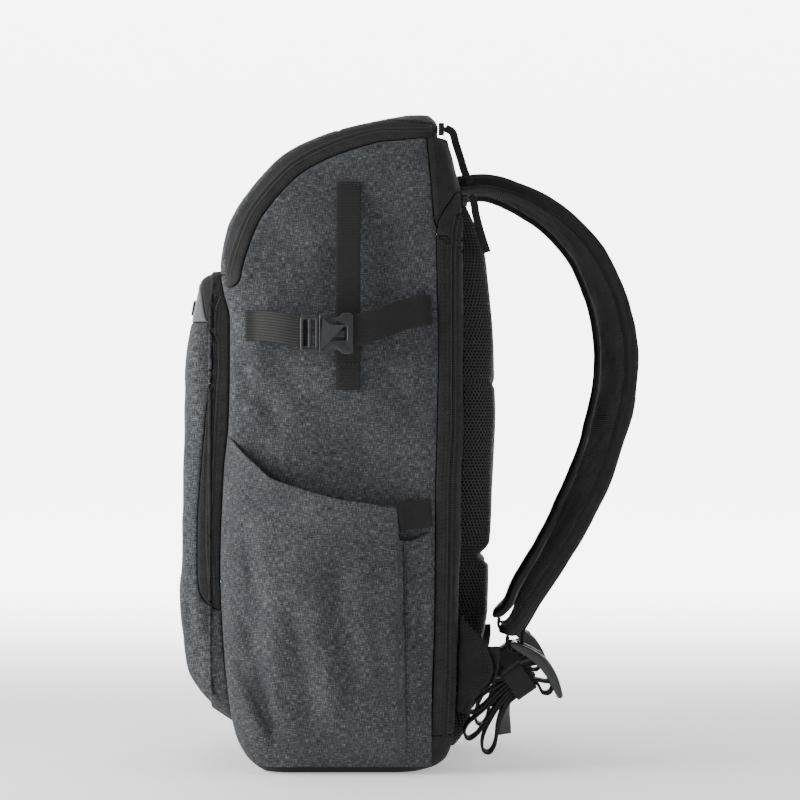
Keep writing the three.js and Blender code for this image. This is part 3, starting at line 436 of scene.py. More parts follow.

# %% [markdown]
# ## Finishes
# Every finish is built from nodes. Cloth and webbing read the piece's own UV map, which is laid
# out in metres, so a yarn or a rib has its real width wherever the cloth bends. Heather cloth is
# yarns of four greys crossed at random, black cloth is a plain weave, spacer mesh is a lattice of
# small holes painted near black as the shade in them, and webbing has cross ribs with painted shade
# in the grooves between them. Plastic and metal read Object coordinates.

# %% A small kit for shader nodes
class Paint:
    """A material under construction: add() makes a node and links or sets its inputs by name."""

    def __init__(self, name):
        self.material = bpy.data.materials.new(name)
        self.material.use_nodes = True
        self.tree = self.material.node_tree
        self.shader = self.tree.nodes["Principled BSDF"]

    def add(self, kind, inputs=None, **settings):
        node = self.tree.nodes.new(kind)
        for key, value in settings.items():
            setattr(node, key, value)
        for key, value in (inputs or {}).items():
            self.feed(node.inputs[key], value)
        return node.outputs[0]

    def feed(self, socket, value):
        if isinstance(value, bpy.types.NodeSocket):
            self.tree.links.new(value, socket)
        else:
            socket.default_value = value

    def set(self, **inputs):
        for key, value in inputs.items():
            self.feed(self.shader.inputs[key.replace("_", " ")], value)

    def math(self, operation, *values):
        return self.add("ShaderNodeMath", dict(enumerate(values)), operation=operation)

    def vector(self, operation, *values):
        return self.add("ShaderNodeVectorMath", dict(enumerate(values)), operation=operation)

    def uv(self):
        return self.add("ShaderNodeUVMap", uv_map="cloth")

    def place(self):
        return self.tree.nodes.new("ShaderNodeTexCoord").outputs["Object"]

    def noise(self, at, size, detail=2.0, roughness=0.5):
        """Noise whose features are size = (across, up) metres, or one size all ways."""
        across, up = size if isinstance(size, tuple) else (size, size)
        scaled = self.vector("MULTIPLY", at, (1 / across, 1 / up, 1 / across))
        made = {"Vector": scaled, "Scale": 1.0, "Detail": detail, "Roughness": roughness}
        return self.add("ShaderNodeTexNoise", made)

    def ramp(self, factor, *stops):
        node = self.tree.nodes.new("ShaderNodeValToRGB")
        while len(node.color_ramp.elements) < len(stops):
            node.color_ramp.elements.new(0.5)
        for element, (at, tone) in zip(node.color_ramp.elements, stops):
            element.position = at
            element.color = (*tone, 1) if isinstance(tone, tuple) else (tone, tone, tone, 1)
        self.tree.links.new(factor, node.inputs[0])
        return node.outputs[0]

    def mix(self, factor, first, second):
        return self.add("ShaderNodeMixRGB", {"Fac": factor, "Color1": first, "Color2": second})

    def bump(self, height, distance, strength):
        made = {"Height": height, "Distance": distance, "Strength": strength}
        normal = self.add("ShaderNodeBump", made)
        self.feed(self.shader.inputs["Normal"], normal)

    def waves(self, pitch, along):
        """Sine ribs of one pitch along u (0) or v (1) of the UV map, from 0 to 1."""
        axis = self.add("ShaderNodeSeparateXYZ", {0: self.uv()}).node.outputs[along]
        turn = self.math("MULTIPLY", axis, 2 * math.pi / pitch)
        return self.math("MULTIPLY_ADD", self.math("SINE", turn), 0.5, 0.5)


def tone(r, g, b):
    """A picture's 0 to 255 tone as the linear colour that a shader takes."""
    return tuple(((c / 255 + 0.055) / 1.055) ** 2.4 if c > 10 else c / 255 / 12.92 for c in (r, g, b))


print("mid grey as a shader takes it:", [round(c, 3) for c in tone(128, 128, 128)])

# %% Cloths
YARN = 0.62 * MM


def heather_cloth():
    """Blue-grey melange: light and dark yarns run both ways and show in short dashes."""
    paint = Paint("heather_cloth")
    uv = paint.uv()
    weft = paint.noise(uv, (4.4 * MM, 0.5 * MM), 2.0, 0.45)
    warp = paint.noise(uv, (0.5 * MM, 3.8 * MM), 2.0, 0.45)
    cloud = paint.noise(uv, 40 * MM, 3.0)
    patchy = paint.noise(uv, (5 * MM, 4 * MM), 2.0)
    crossed = paint.math("MULTIPLY_ADD", weft, 0.5, paint.math("MULTIPLY", warp, 0.5))
    large = paint.math("MULTIPLY_ADD", cloud, 0.16, paint.math("MULTIPLY", patchy, 0.12))
    shaded = paint.math("ADD", crossed, paint.math("SUBTRACT", large, 0.14))
    base = paint.ramp(
        shaded,
        (0.34, tone(32, 34, 37)),
        (0.46, tone(56, 58, 61)),
        (0.54, tone(74, 76, 79)),
        (0.66, tone(114, 116, 118)),
    )
    blue = paint.noise(uv, (5 * MM, 1.1 * MM), 2.0)
    tint = paint.ramp(blue, (0.5, (0.0, 0.0, 0.0)), (0.7, (0.5, 0.5, 0.5)))
    paint.set(Base_Color=paint.mix(tint, base, (*tone(64, 67, 74), 1)))
    paint.set(Roughness=0.95, Specular_IOR_Level=0.2)
    weave = paint.math("MULTIPLY", paint.waves(YARN, 0), paint.waves(YARN, 1))
    slub = paint.math("MULTIPLY_ADD", crossed, 1.4, weave)
    paint.bump(slub, 0.13 * MM, 0.7)
    return paint.material


def black_cloth(name="black_cloth", light=34, pitch=0.7 * MM, rough=0.86):
    """Plain black nylon: a fine even weave with a faint drift of tone."""
    paint = Paint(name)
    cloud = paint.noise(paint.uv(), 9 * MM, 4.0, 0.6)
    low, high = tone(*[light - 7] * 3), tone(light + 6, light + 6, light + 7)
    paint.set(Base_Color=paint.ramp(cloud, (0.3, low), (0.7, high)))
    paint.set(Roughness=rough, Specular_IOR_Level=0.25)
    weave = paint.math("MULTIPLY", paint.waves(pitch, 0), paint.waves(pitch, 1))
    grain = paint.noise(paint.uv(), 1.1 * MM, 3.0)
    paint.bump(paint.math("MULTIPLY_ADD", grain, 0.8, weave), 0.13 * MM, 0.7)
    return paint.material


def patch_cloth():
    """Smooth coated cloth, mid grey, with a fine leathery grain."""
    paint = Paint("patch_cloth")
    grain = paint.noise(paint.uv(), 1.6 * MM, 5.0, 0.65)
    paint.set(Base_Color=paint.ramp(grain, (0.3, tone(80, 81, 84)), (0.7, tone(98, 99, 102))))
    paint.set(Roughness=0.62)
    paint.bump(grain, 0.12 * MM, 0.6)
    return paint.material


def mesh_cloth(name, pitch, hole, light):
    """Spacer mesh: a hexagonal lattice of holes with knitted cords between them. The holes are painted near
    black, darker than the cords, as the shade inside them.
    """
    paint = Paint(name)
    uv = paint.uv()
    tall = pitch * math.sqrt(3)
    nearest = None
    for shift in (0.0, 0.5):
        moved = paint.vector("ADD", paint.vector("DIVIDE", uv, (pitch, tall, 1.0)), (shift, shift, 0))
        local = paint.vector("SUBTRACT", paint.vector("FRACTION", moved), (0.5, 0.5, 0.0))
        real = paint.vector("MULTIPLY", local, (pitch, tall, 0))
        length = paint.vector("LENGTH", real).node.outputs["Value"]
        nearest = length if nearest is None else paint.math("MINIMUM", nearest, length)
    share = paint.math("DIVIDE", nearest, pitch / 2)
    fibre = paint.noise(uv, 0.5 * MM, 2.0)
    rough = paint.math("MULTIPLY_ADD", fibre, 0.16, share)
    # painted shade: near black in the holes, the mesh's own tone on the cords
    low, high = tone(9, 9, 10), tone(light, light, light + 1)
    paint.set(Base_Color=paint.ramp(rough, (hole, low), (hole + 0.2, high)))
    paint.set(Roughness=0.9, Specular_IOR_Level=0.2)
    step = paint.ramp(rough, (hole - 0.12, 0.0), (hole + 0.3, 1.0))
    paint.bump(step, 0.6 * MM, 0.9)
    return paint.material


def webbing_cloth(name="webbing", light=39, rib=1.25 * MM, way=1):
    """Flat nylon webbing: ribs across it (way 1) or along it (way 0) and fine yarns between. Its tone follows
    the ribs, with painted shade in the grooves and a random fuzz of tone on top.
    """
    paint = Paint(name)
    ribs = paint.waves(rib, way)
    ends = paint.waves(0.95 * MM, 1 - way)
    fuzz = paint.noise(paint.uv(), 0.8 * MM, 3.0)
    # painted shade: darker in the grooves between ribs, lighter on their crests; the fuzz is random tone
    low, high = tone(*[light - 14] * 3), tone(light + 5, light + 5, light + 4)
    paint.set(Base_Color=paint.ramp(paint.math("MULTIPLY_ADD", fuzz, 0.5, ribs), (0.3, low), (1.1, high)))
    paint.set(Roughness=0.82, Specular_IOR_Level=0.25)
    both = paint.math("MULTIPLY_ADD", ends, 0.35, ribs)
    paint.bump(both, 0.22 * MM, 0.8)
    return paint.material


HEATHER = heather_cloth()
BLACK = black_cloth()
STRAP_BLACK = black_cloth("strap_cloth", 29, 0.5 * MM, 0.7)
SMOOTH_BLACK = black_cloth("yoke_cloth", 36, 0.5 * MM, 0.78)
TAPE = black_cloth("zip_tape", 40, 1.3 * MM, 0.84)
PATCH = patch_cloth()
OPEN_MESH = mesh_cloth("open_mesh", 2.5 * MM, 0.6, 58)
CLOSE_MESH = mesh_cloth("close_mesh", 1.9 * MM, 0.5, 40)
WEBBING = webbing_cloth()
ELASTIC = webbing_cloth("elastic", 40, 0.9 * MM)
RIBBED_LONG = webbing_cloth("ribbed_webbing", 42, 1.9 * MM, 0)
print("cloths and paper:", len(bpy.data.materials))

# %% Plastic, metal and thread
def moulded_plastic():
    """Dark acetal: satin, with the faint orange peel of a mould."""
    paint = Paint("moulded_plastic")
    peel = paint.noise(paint.place(), 1.6 * MM, 3.0)
    wear = paint.noise(paint.place(), 7 * MM, 3.0)
    paint.set(Base_Color=paint.ramp(wear, (0.3, tone(36, 37, 39)), (0.7, tone(46, 47, 49))))
    paint.set(Roughness=paint.ramp(wear, (0.3, 0.36), (0.7, 0.46)))
    paint.bump(peel, 0.05 * MM, 0.4)
    return paint.material


def slider_metal():
    """Painted zinc: dark, with a little brighter metal showing."""
    paint = Paint("slider_metal")
    wear = paint.noise(paint.place(), 1.5 * MM, 4.0)
    paint.set(Base_Color=paint.ramp(wear, (0.4, tone(44, 45, 47)), (0.75, tone(104, 105, 108))))
    paint.set(Metallic=0.85, Roughness=0.34)
    return paint.material


def thread(name, light):
    """Sewing thread: matt, with a twist too fine to be modelled."""
    paint = Paint(name)
    twist = paint.noise(paint.place(), 0.3 * MM, 1.0)
    low, high = tone(*[light - 8] * 3), tone(*[light + 8] * 3)
    paint.set(Base_Color=paint.ramp(twist, (0.35, low), (0.65, high)), Roughness=0.75)
    return paint.material


PLASTIC = moulded_plastic()
METAL = slider_metal()
COIL = thread("zip_coil", 58)
STITCH = thread("stitch_thread", 92)
DARK_STITCH = thread("black_thread", 50)
# near-black tone for the gap between a zip's coil rows: painted shade
ZIP_GAP_SHADE = thread("zip_gap_shade", 18)
print("finishes:", len(bpy.data.materials))

# %% [markdown]
# ## From sheet to object
# A sheet becomes an object at the origin with its place in its mesh. Its UV map is in metres. A
# panel of cloth gets its thickness from Solidify, inwards, so that its face stays where it was.

# %% Objects from sheets
WELD = 0.002 * MM


def make(name, sheet, finishes, slot, nodes=(), thick=0.0, uv=None):
    """A piece of the bag from a sheet, riding on the frame and standing for its CAD nodes."""
    co, tri = sheet["co"], sheet["tri"]
    mesh = bpy.data.meshes.new(name)
    mesh.vertices.add(len(co))
    mesh.vertices.foreach_set("co", co.astype(np.float32).ravel())
    mesh.loops.add(tri.size)
    mesh.loops.foreach_set("vertex_index", tri.astype(np.int32).ravel())
    mesh.polygons.add(len(tri))
    mesh.polygons.foreach_set("loop_start", np.arange(0, tri.size, 3, dtype=np.int32))
    mesh.polygons.foreach_set("use_smooth", np.ones(len(tri), bool))
    if "finish" in sheet:
        kind = np.rint(sheet["finish"][tri].mean(1)).astype(np.int32)
        mesh.polygons.foreach_set("material_index", kind)
    layer = mesh.uv_layers.new(name="cloth")
    corner_uv = sheet["uv"][tri.ravel()] if uv is None else uv(sheet)
    layer.data.foreach_set("uv", corner_uv.astype(np.float32).ravel())
    mesh.update()
    mesh.validate()
    if "twin" in sheet or "weld" in sheet:
        work = bmesh.new()
        work.from_mesh(mesh)
        bmesh.ops.remove_doubles(work, verts=work.verts, dist=WELD)
        work.to_mesh(mesh)
        work.free()
    for material in finishes:
        mesh.materials.append(material)
    made = new_object(name, mesh)
    if thick:
        wall = made.modifiers.new("wall", "SOLIDIFY")
        wall.thickness = thick
        wall.offset = -1
        wall.use_rim = True
    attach(made, "root")
    if nodes:
        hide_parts(*nodes)
    print(f"{name}: {len(tri)} triangles")
    return made


def box_uv(sheet):
    """Face by face: across and up for a side, along the slope for the front and the rear."""
    co, tri = sheet["co"], sheet["tri"]
    a, b, c = co[tri[:, 0]], co[tri[:, 1]], co[tri[:, 2]]
    face = np.abs(np.cross(b - a, c - a))
    sideways = (face[:, 0] > np.maximum(face[:, 1], face[:, 2]))[:, None, None]
    at = co[tri]
    rise = sheet["rise"][tri] if "rise" in sheet else at[..., 2]
    side = np.stack([at[..., 1], at[..., 2]], -1)
    front = np.stack([at[..., 0], rise], -1)
    return np.where(sideways, side, front).reshape(-1, 2)

# %% [markdown]
# ## Zip coils and stitches
# A zip has some four hundred ribs to the half metre, and a bag has thousands of stitches. Geometry
# Nodes resample a path to an even pitch and set one small rounded bar at each place, turned along
# the path and standing on the cloth. The result is made a plain mesh.

# %% Bars along a path
BAR = {"Segments": 6, "Rings": 4, "Radius": 0.5}


def bar_tree(material):
    """Path mesh in, bars out. Each path corner holds the cloth's normal in facing."""
    tree = bpy.data.node_groups.new("bars_along_path", "GeometryNodeTree")
    face = tree.interface
    face.new_socket("Path", in_out="INPUT", socket_type="NodeSocketGeometry")
    for name in ("Pitch", "Along", "Across", "Height", "Shift", "Ragged"):
        face.new_socket(name, in_out="INPUT", socket_type="NodeSocketFloat")
    face.new_socket("Seed", in_out="INPUT", socket_type="NodeSocketInt")
    face.new_socket("Bars", in_out="OUTPUT", socket_type="NodeSocketGeometry")

    def add(kind, links=None, **settings):
        node = tree.nodes.new(kind)
        for key, value in settings.items():
            setattr(node, key, value)
        for key, value in (links or {}).items():
            if isinstance(value, bpy.types.NodeSocket):
                tree.links.new(value, node.inputs[key])
            else:
                node.inputs[key].default_value = value
        return node

    given = add("NodeGroupInput").outputs
    curve = add("GeometryNodeMeshToCurve", {"Mesh": given["Path"]}).outputs[0]
    even = add("GeometryNodeResampleCurve", {"Curve": curve, "Length": given["Pitch"]}, mode="LENGTH")
    facing = add("GeometryNodeInputNamedAttribute", {"Name": "facing"}, data_type="FLOAT_VECTOR")
    tangent = add("GeometryNodeInputTangent").outputs[0]
    aside = add("ShaderNodeVectorMath", {0: tangent, 1: facing.outputs[0]}, operation="CROSS_PRODUCT")
    moved = add("ShaderNodeVectorMath", {0: aside.outputs[0], "Scale": given["Shift"]}, operation="SCALE")
    turned = add("FunctionNodeAlignRotationToVector", {"Vector": tangent}, axis="X")
    upright = add(
        "FunctionNodeAlignRotationToVector",
        {"Rotation": turned.outputs[0], "Vector": facing.outputs[0]},
        axis="Z",
        pivot_axis="X",
    )
    kept = add(
        "GeometryNodeStoreNamedAttribute",
        {"Geometry": even.outputs[0], "Name": "turn", "Value": upright.outputs[0]},
        data_type="QUATERNION",
        domain="POINT",
    )
    shifted = add("GeometryNodeSetPosition", {"Geometry": kept.outputs[0], "Offset": moved.outputs[0]})
    ball = add("GeometryNodeMeshUVSphere", BAR)
    smooth = add("GeometryNodeSetShadeSmooth", {"Geometry": ball.outputs[0]})
    size = add("ShaderNodeCombineXYZ", {0: given["Along"], 1: given["Across"], 2: given["Height"]})
    low = add("ShaderNodeMath", {0: 1.0, 1: given["Ragged"]}, operation="SUBTRACT")
    high = add("ShaderNodeMath", {0: 1.0, 1: given["Ragged"]}, operation="ADD")
    chance = add(
        "FunctionNodeRandomValue",
        {2: low.outputs[0], 3: high.outputs[0], "Seed": given["Seed"]},
        data_type="FLOAT",
    )
    scale = add("ShaderNodeVectorMath", {0: size.outputs[0], "Scale": chance.outputs[1]}, operation="SCALE")
    turn = add("GeometryNodeInputNamedAttribute", {"Name": "turn"}, data_type="QUATERNION")
    bars = add(
        "GeometryNodeInstanceOnPoints",
        {
            "Points": shifted.outputs[0],
            "Instance": smooth.outputs[0],
            "Rotation": turn.outputs[0],
            "Scale": scale.outputs[0],
        },
    )
    real = add("GeometryNodeRealizeInstances", {"Geometry": bars.outputs[0]})
    painted = add("GeometryNodeSetMaterial", {"Geometry": real.outputs[0], "Material": material})
    add("NodeGroupOutput", {"Bars": painted.outputs[0]})
    return tree


def plain_mesh(made):
    """A new mesh of what an object shows, its modifiers included."""
    graph = bpy.context.evaluated_depsgraph_get()
    return bpy.data.meshes.new_from_object(made.evaluated_get(graph))


def bars(name, paths, material, slot, pitch, size, shift=0.0, ragged=0.0, seed=1):
    """Bars of size (along, across, height) at an even pitch on paths of (places, normals)."""
    mesh = bpy.data.meshes.new(name)
    places = np.concatenate([p for p, _ in paths])
    facing = np.concatenate([n for _, n in paths])
    edges, start = [], 0
    for p, _ in paths:
        edges += [(start + i, start + i + 1) for i in range(len(p) - 1)]
        start += len(p)
    mesh.from_pydata(places.tolist(), edges, [])
    attribute = mesh.attributes.new("facing", "FLOAT_VECTOR", "POINT")
    attribute.data.foreach_set("vector", facing.astype(np.float32).ravel())
    made = new_object(name, mesh)
    tree = bar_tree(material)
    modifier = made.modifiers.new("bars", "NODES")
    modifier.node_group = tree
    wanted = {"Pitch": pitch, "Along": size[0], "Across": size[1], "Height": size[2]}
    wanted.update(Shift=shift, Ragged=ragged, Seed=seed)
    for item in tree.interface.items_tree:
        if item.in_out == "INPUT" and item.name in wanted:
            modifier[item.identifier] = wanted[item.name]
    plain = plain_mesh(made)
    made.modifiers.clear()
    made.data = plain
    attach(made, "root")
    print(f"{name}: {len(plain.polygons)} faces")


def mirrored_paths(paths):
    """The same paths on the wearer's left as well."""
    other = np.array([-1.0, 1.0, 1.0])
    return paths + [((p * other)[::-1], (n * other)[::-1]) for p, n in paths]

# %% [markdown]
# ## The bag's body
# The body is one padded shell whose sections change from a rounded base to a lid that slopes up to
# the rear. It could be made panel by panel, but then the seams would never quite meet. Here one
# fine sheet is laid round the whole body, and the panels are cut from it along their seams.

# %% Sizes of the body
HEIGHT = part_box("flap_roof")[1].z
WIDTH = 0.300
DEPTH = 0.168
CORNER = 20 * MM
SIDE_CROWN = 4 * MM
BODY = table("z front rear half", [
    [0, 0.333, 0.315, 0.84],
    [0.009, 0.363, 0.381, 0.9],
    [0.026, 0.405, 0.429, 0.947],
    [0.067, 0.454, 0.458, 0.98],
    [0.111, 0.474, 0.464, 0.993],
    [0.187, 0.494, 0.47, 1],
    [0.304, 0.508, 0.479, 1],
    [0.452, 0.494, 0.488, 1],
    [0.533, 0.474, 0.494, 0.993],
    [0.62, 0.47, 0.494, 0.983],
    [0.683, 0.47, 0.494, 0.967],
    [0.726, 0.497, 0.494, 0.95],
    [0.761, 0.511, 0.494, 0.933],
    [0.82, 0.486, 0.494, 0.9],
    [0.85, 0.45, 0.49, 0.877],
    [0.878, 0.399, 0.485, 0.853],
    [0.909, 0.33, 0.462, 0.82],
    [0.933, 0.265, 0.448, 0.787],
    [0.952, 0.185, 0.435, 0.753],
    [0.959, 0.143, 0.43, 0.74],
    [0.963, 0.119, 0.39, 0.733],
    [0.976, 0.024, 0.393, 0.693],
    [0.989, -0.107, 0.384, 0.627],
    [1, -0.25, 0.357, 0.52],
])


def body_at(z):
    """Front, rear and half width of the body at a height."""
    share = np.asarray(z, float) / HEIGHT
    front = -BODY("front", share) * DEPTH
    return front, BODY("rear", share) * DEPTH, BODY("half", share) * WIDTH / 2


def crown_at(z):
    return SIDE_CROWN * np.sin(np.pi * np.clip(np.asarray(z, float) / HEIGHT, 0, 1))


def side_x(y, z):
    """The right side panel's surface at a place in the side view."""
    front, rear, half = body_at(z)
    turn = np.minimum(CORNER, (rear - front) * 0.45)
    past = np.maximum(np.maximum(front + turn - y, y - (rear - turn)), 0)
    t = np.clip((y - front - turn) / (rear - front - 2 * turn), 0, 1)
    flat = half + crown_at(z) * 4 * t * (1 - t)
    return np.where(past > 0, half - turn + np.sqrt(np.maximum(turn**2 - past**2, 0)), flat)


print("front, rear and half width half way up, mm:", [round(float(v) / MM) for v in body_at(HEIGHT / 2)])

# %% One sheet round the body
BODY_ROWS = 205
BODY_COUNTS = (84, 14, 56)  # steps along the front, round a corner and along the side
CAP_RINGS = 10


def plan_ring(front, rear, half, corner, crown, counts):
    """A horizontal ring with rounded corners, anticlockwise from above, its first point again last."""
    corner = min(corner, (rear - front) * 0.45)
    flat, turn, flank = counts
    middle = (half - corner, rear - corner, front + corner)
    ring = []
    for sign, y, start in ((1, middle[2], -90), (1, middle[1], 0), (-1, middle[1], 90), (-1, middle[2], 180)):
        for step in range(turn):
            angle = math.radians(start + 90 * step / turn)
            ring.append((sign * middle[0] + corner * math.cos(angle), y + corner * math.sin(angle)))
        if start in (-90, 90):
            first, last = (middle[2], middle[1]) if sign > 0 else (middle[1], middle[2])
            for step in range(flank):
                t = step / flank
                swell = crown * 4 * t * (1 - t)
                ring.append((sign * (half + swell), first + (last - first) * t))
        else:
            level = rear if start == 0 else front
            for step in range(flat):
                t = step / flat
                x = middle[0] - 2 * middle[0] * t if start == 0 else -middle[0] + 2 * middle[0] * t
                ring.append((x, level))
    return np.array(ring + ring[:1])


def body_rows(count):
    """Heights that lie evenly along the body's own profile."""
    fine = np.linspace(0, HEIGHT, 1200)
    front, rear, half = body_at(fine)
    moves = np.sqrt(np.diff(fine) ** 2 + np.maximum(np.diff(front) ** 2, np.diff(half) ** 2))
    along = np.concatenate([[0], np.cumsum(moves)])
    return np.interp(np.linspace(0, along[-1], count), along, fine), along, fine


def closed_stack(ring_at, heights, rises):
    """A sheet of rings at each height with flat caps that close to a point at both ends."""
    rings, rise = [], []
    for z, v in zip(heights, rises):
        rings.append(np.column_stack([ring_at(z), np.full(len(ring_at(z)), z)]))
        rise.append(np.full(len(rings[-1]), v))
    for end in (0, -1):
        ring = rings[end]
        centre = np.array([0, (ring[:, 1].max() + ring[:, 1].min()) / 2, ring[0, 2]])
        shrink = [1 - step / CAP_RINGS for step in range(1, CAP_RINGS + 1)]
        caps = [centre + (ring - centre) * np.array([k, k, 1]) for k in shrink]
        levels = [rise[end]] * CAP_RINGS
        if end == 0:
            rings, rise = caps[::-1] + rings, levels[::-1] + rise
        else:
            rings, rise = rings + caps, rise + levels
    sheet = grid_sheet(np.array(rings), wrap=True)
    sheet["rise"] = np.array(rise).ravel()
    sheet["normal"] = normals(sheet)
    return sheet


def bag_sheet():
    heights, along, fine = body_rows(BODY_ROWS)
    rises = np.interp(heights, fine, along)

    def ring_at(z):
        front, rear, half = (float(v) for v in body_at(z))
        return plan_ring(front, rear, half, CORNER, float(crown_at(z)), BODY_COUNTS)

    return closed_stack(ring_at, heights, rises)


bag = bag_sheet()
volume_sign = np.sign(np.einsum("ij,ij->", bag["co"], bag["normal"]))
print("body sheet:", len(bag["tri"]), "triangles, volume sign", volume_sign)

# %% Seams in the side view
def shares(rows):
    return [(y * DEPTH, z * HEIGHT) for y, z in rows]


LID_BAND = 17 * MM
LID_EDGE = 9 * MM
LID_ZIP = [
    (-0.473, 0.75), (-0.464, 0.767), (-0.435, 0.802), (-0.392, 0.841), (-0.334, 0.8715),
    (-0.285, 0.893), (-0.207, 0.92), (-0.089, 0.9446), (0.027, 0.961), (0.179, 0.973),
    (0.321, 0.973), (0.393, 0.973), (0.595, 0.973),
]
BAND_SHARE = table("y half", [
    [-0.5, 0.5], [0.027, 0.5], [0.179, 0.46], [0.321, 0.33], [0.393, 0.29], [0.6, 0.29],
])
ROOF_FRONT = -0.024
YOKE_FRONT = [(0.342, 0.971), (0.3625, 0.887), (0.3726, 0.837), (0.383, 0.809)]
YOKE_BELOW = [(0.383, 0.809), (0.393, 0.833), (0.417, 0.848), (0.47, 0.877), (0.6, 0.881)]
GUSSET_FRONT = [
    (0.383, 0.809), (0.3905, 0.622), (0.387, 0.528), (0.3786, 0.4065), (0.376, 0.2326),
    (0.3667, 0.1326), (0.36, 0.0587),
]
DOOR_EDGE = [
    (0.6, 0.848), (0.482, 0.8446), (0.457, 0.8174), (0.4506, 0.761), (0.4506, 0.528),
    (0.438, 0.4348), (0.434, 0.3152), (0.426, 0.1326), (0.418, 0.0587),
]
BASE_EDGE = [(-0.6, 0.067), (0, 0.061), (0.6, 0.058)]
TOP = 2 * HEIGHT


def outline(*runs):
    """A region's outline from runs of places, always anticlockwise, so that inside is positive."""
    points = [tuple(p) for run in runs for p in run]
    area = sum(a[0] * b[1] - b[0] * a[1] for a, b in zip(points, points[1:] + points[:1]))
    return line_field(points if area > 0 else points[::-1], closed=True)


lid_line = rounded(shares(LID_ZIP))
gusset_line = rounded(shares(GUSSET_FRONT))
door_line = rounded(shares(DOOR_EDGE))
lid_centre = line_field(lid_line)


def zip_band(co):
    """Positive on the lid's zip band: near the zip's line and only at the body's edge."""
    half = BAND_SHARE("half", co[:, 1] / DEPTH) * LID_BAND
    width = body_at(co[:, 2])[2]
    return np.minimum(half - np.abs(lid_centre(co)), np.abs(co[:, 0]) - (width - LID_EDGE))


print("lid zip, mm:", round(float(lengths_along(lid_line)[-1]) / MM))

# %% Cutting the panels
lid_region = outline([(-DEPTH, lid_line[0][1])], lid_line, [(lid_line[-1][0], TOP), (-DEPTH, TOP)])
roof_region = outline([(ROOF_FRONT * DEPTH, 0), (DEPTH, 0), (DEPTH, TOP), (ROOF_FRONT * DEPTH, TOP)])
base_region = outline(shares(BASE_EDGE), [(DEPTH, -DEPTH), (-DEPTH, -DEPTH)])
yoke_region = outline(shares(YOKE_FRONT), shares(YOKE_BELOW)[1:], [(0.6 * DEPTH, TOP)])
door_region = outline(door_line, [(DEPTH, door_line[-1][1])])
gusset_region = outline(gusset_line, [(DEPTH, gusset_line[-1][1]), (DEPTH, TOP), (gusset_line[0][0], TOP)])

panels = {}
panels["flap_zip_band"], rest = divide(bag, zip_band)
lid, rest = divide(rest, lid_region)
panels["flap_roof"], panels["top_flap"] = divide(lid, roof_region)
panels["base_panel"], rest = divide(rest, base_region)
panels["yoke"], rest = divide(rest, yoke_region)
panels["back_door"], rest = divide(rest, door_region)
panels["rear_zip_gusset"], panels["main_shell"] = divide(rest, gusset_region)
print({name: len(sheet["tri"]) for name, sheet in panels.items()})

# %% [markdown]
# ### Folds
# Cloth over thin padding isn't smooth: it pulls between its seams and buckles where a pocket ends.
# Each fold is a valley with a low ridge beside it, laid between two places in the side view, and a
# slow drift of the surface breaks up what is left.

# %% Folds of the side panels
SIDE_FOLDS = [
    # from y, z, to y, z, width, depth, in shares of DEPTH and HEIGHT and in millimetres
    (-0.52, 0.578, -0.2, 0.565, 3.4, 2.6),
    (-0.5, 0.56, -0.24, 0.6, 5, 1.4),
    (-0.5, 0.64, -0.2, 0.49, 8, 3.4),
    (-0.46, 0.54, -0.22, 0.455, 7, 2.0),
    (-0.46, 0.68, -0.35, 0.6, 6, 1.5),
    (-0.42, 0.66, -0.4, 0.5, 6, 1.3),
    (0.1, 0.64, 0.37, 0.5, 9, 3.0),
    (0.14, 0.74, 0.37, 0.66, 8, 1.2),
    (0.2, 0.52, 0.37, 0.44, 7, 1.3),
    (-0.1, 0.84, 0.24, 0.6, 14, 1.8),
    (-0.3, 0.82, -0.05, 0.7, 10, 1.2),
]


def side_folds(sheet, table_rows, slack, seed):
    co, normal = sheet["co"], sheet["normal"]
    sideways = smoothstep((np.abs(normal[:, 0]) - 0.35) / 0.4)
    total = slack * drift(co, 38 * MM, seed) + 0.45 * slack * drift(co, 15 * MM, seed + 1)
    for y0, z0, y1, z1, width, depth in table_rows:
        start, end = (y0 * DEPTH, z0 * HEIGHT), (y1 * DEPTH, z1 * HEIGHT)
        total = total + sideways * crease(co, start, end, width * MM, depth * MM)
    hold = smoothstep(edge_distance(sheet) / (12 * MM)) if slack else 0
    sheet["co"] = co + normal * (total * hold)[:, None]
    return sheet


print("folds:", len(SIDE_FOLDS), "the deepest, mm:", max(row[-1] for row in SIDE_FOLDS))

# %% Making the body's panels
CAPPED = ("flap_roof", "base_panel")  # their sheets close to a point at the body's ends
YOKE_FOLDS = [(0.36, 0.95, 0.46, 0.86, 6, 1.0)]
BODY_PANELS = [
    # node, piece, finish, slot, (folds, slack, seed), press depth and radius, thickness, fill
    ("main_shell", "main_shell_cloth", HEATHER, "heather_cloth", (SIDE_FOLDS, 0.8, 1), 1.5, 3.2, 5, 0.5),
    ("top_flap", "top_flap_cloth", HEATHER, "heather_cloth", ([], 0.7, 3), 1.4, 3.2, 5, 0.6),
    ("flap_roof", "flap_roof_cloth", SMOOTH_BLACK, "black_cloth", ([], 0.7, 5), 1.3, 3.2, 5, 0.6),
    ("yoke", "yoke_cloth", SMOOTH_BLACK, "black_cloth", (YOKE_FOLDS, 0.7, 6), 1.4, 3.2, 5, 0.5),
    ("base_panel", "base_cloth", BLACK, "black_cloth", None, 1.2, 3, 5, 0.7),
    ("back_door", "back_door_cloth", BLACK, "black_cloth", ([], 0.5, 8), 1.2, 3, 5, 0.6),
    ("rear_zip_gusset", "rear_zip_tape", TAPE, "zip_tape", ([], 0.45, 9), 1.1, 2.4, 4, 0.3),
    ("flap_zip_band", "flap_zip_tape", TAPE, "zip_tape", None, 1.1, 2.4, 4, 0.3),
]


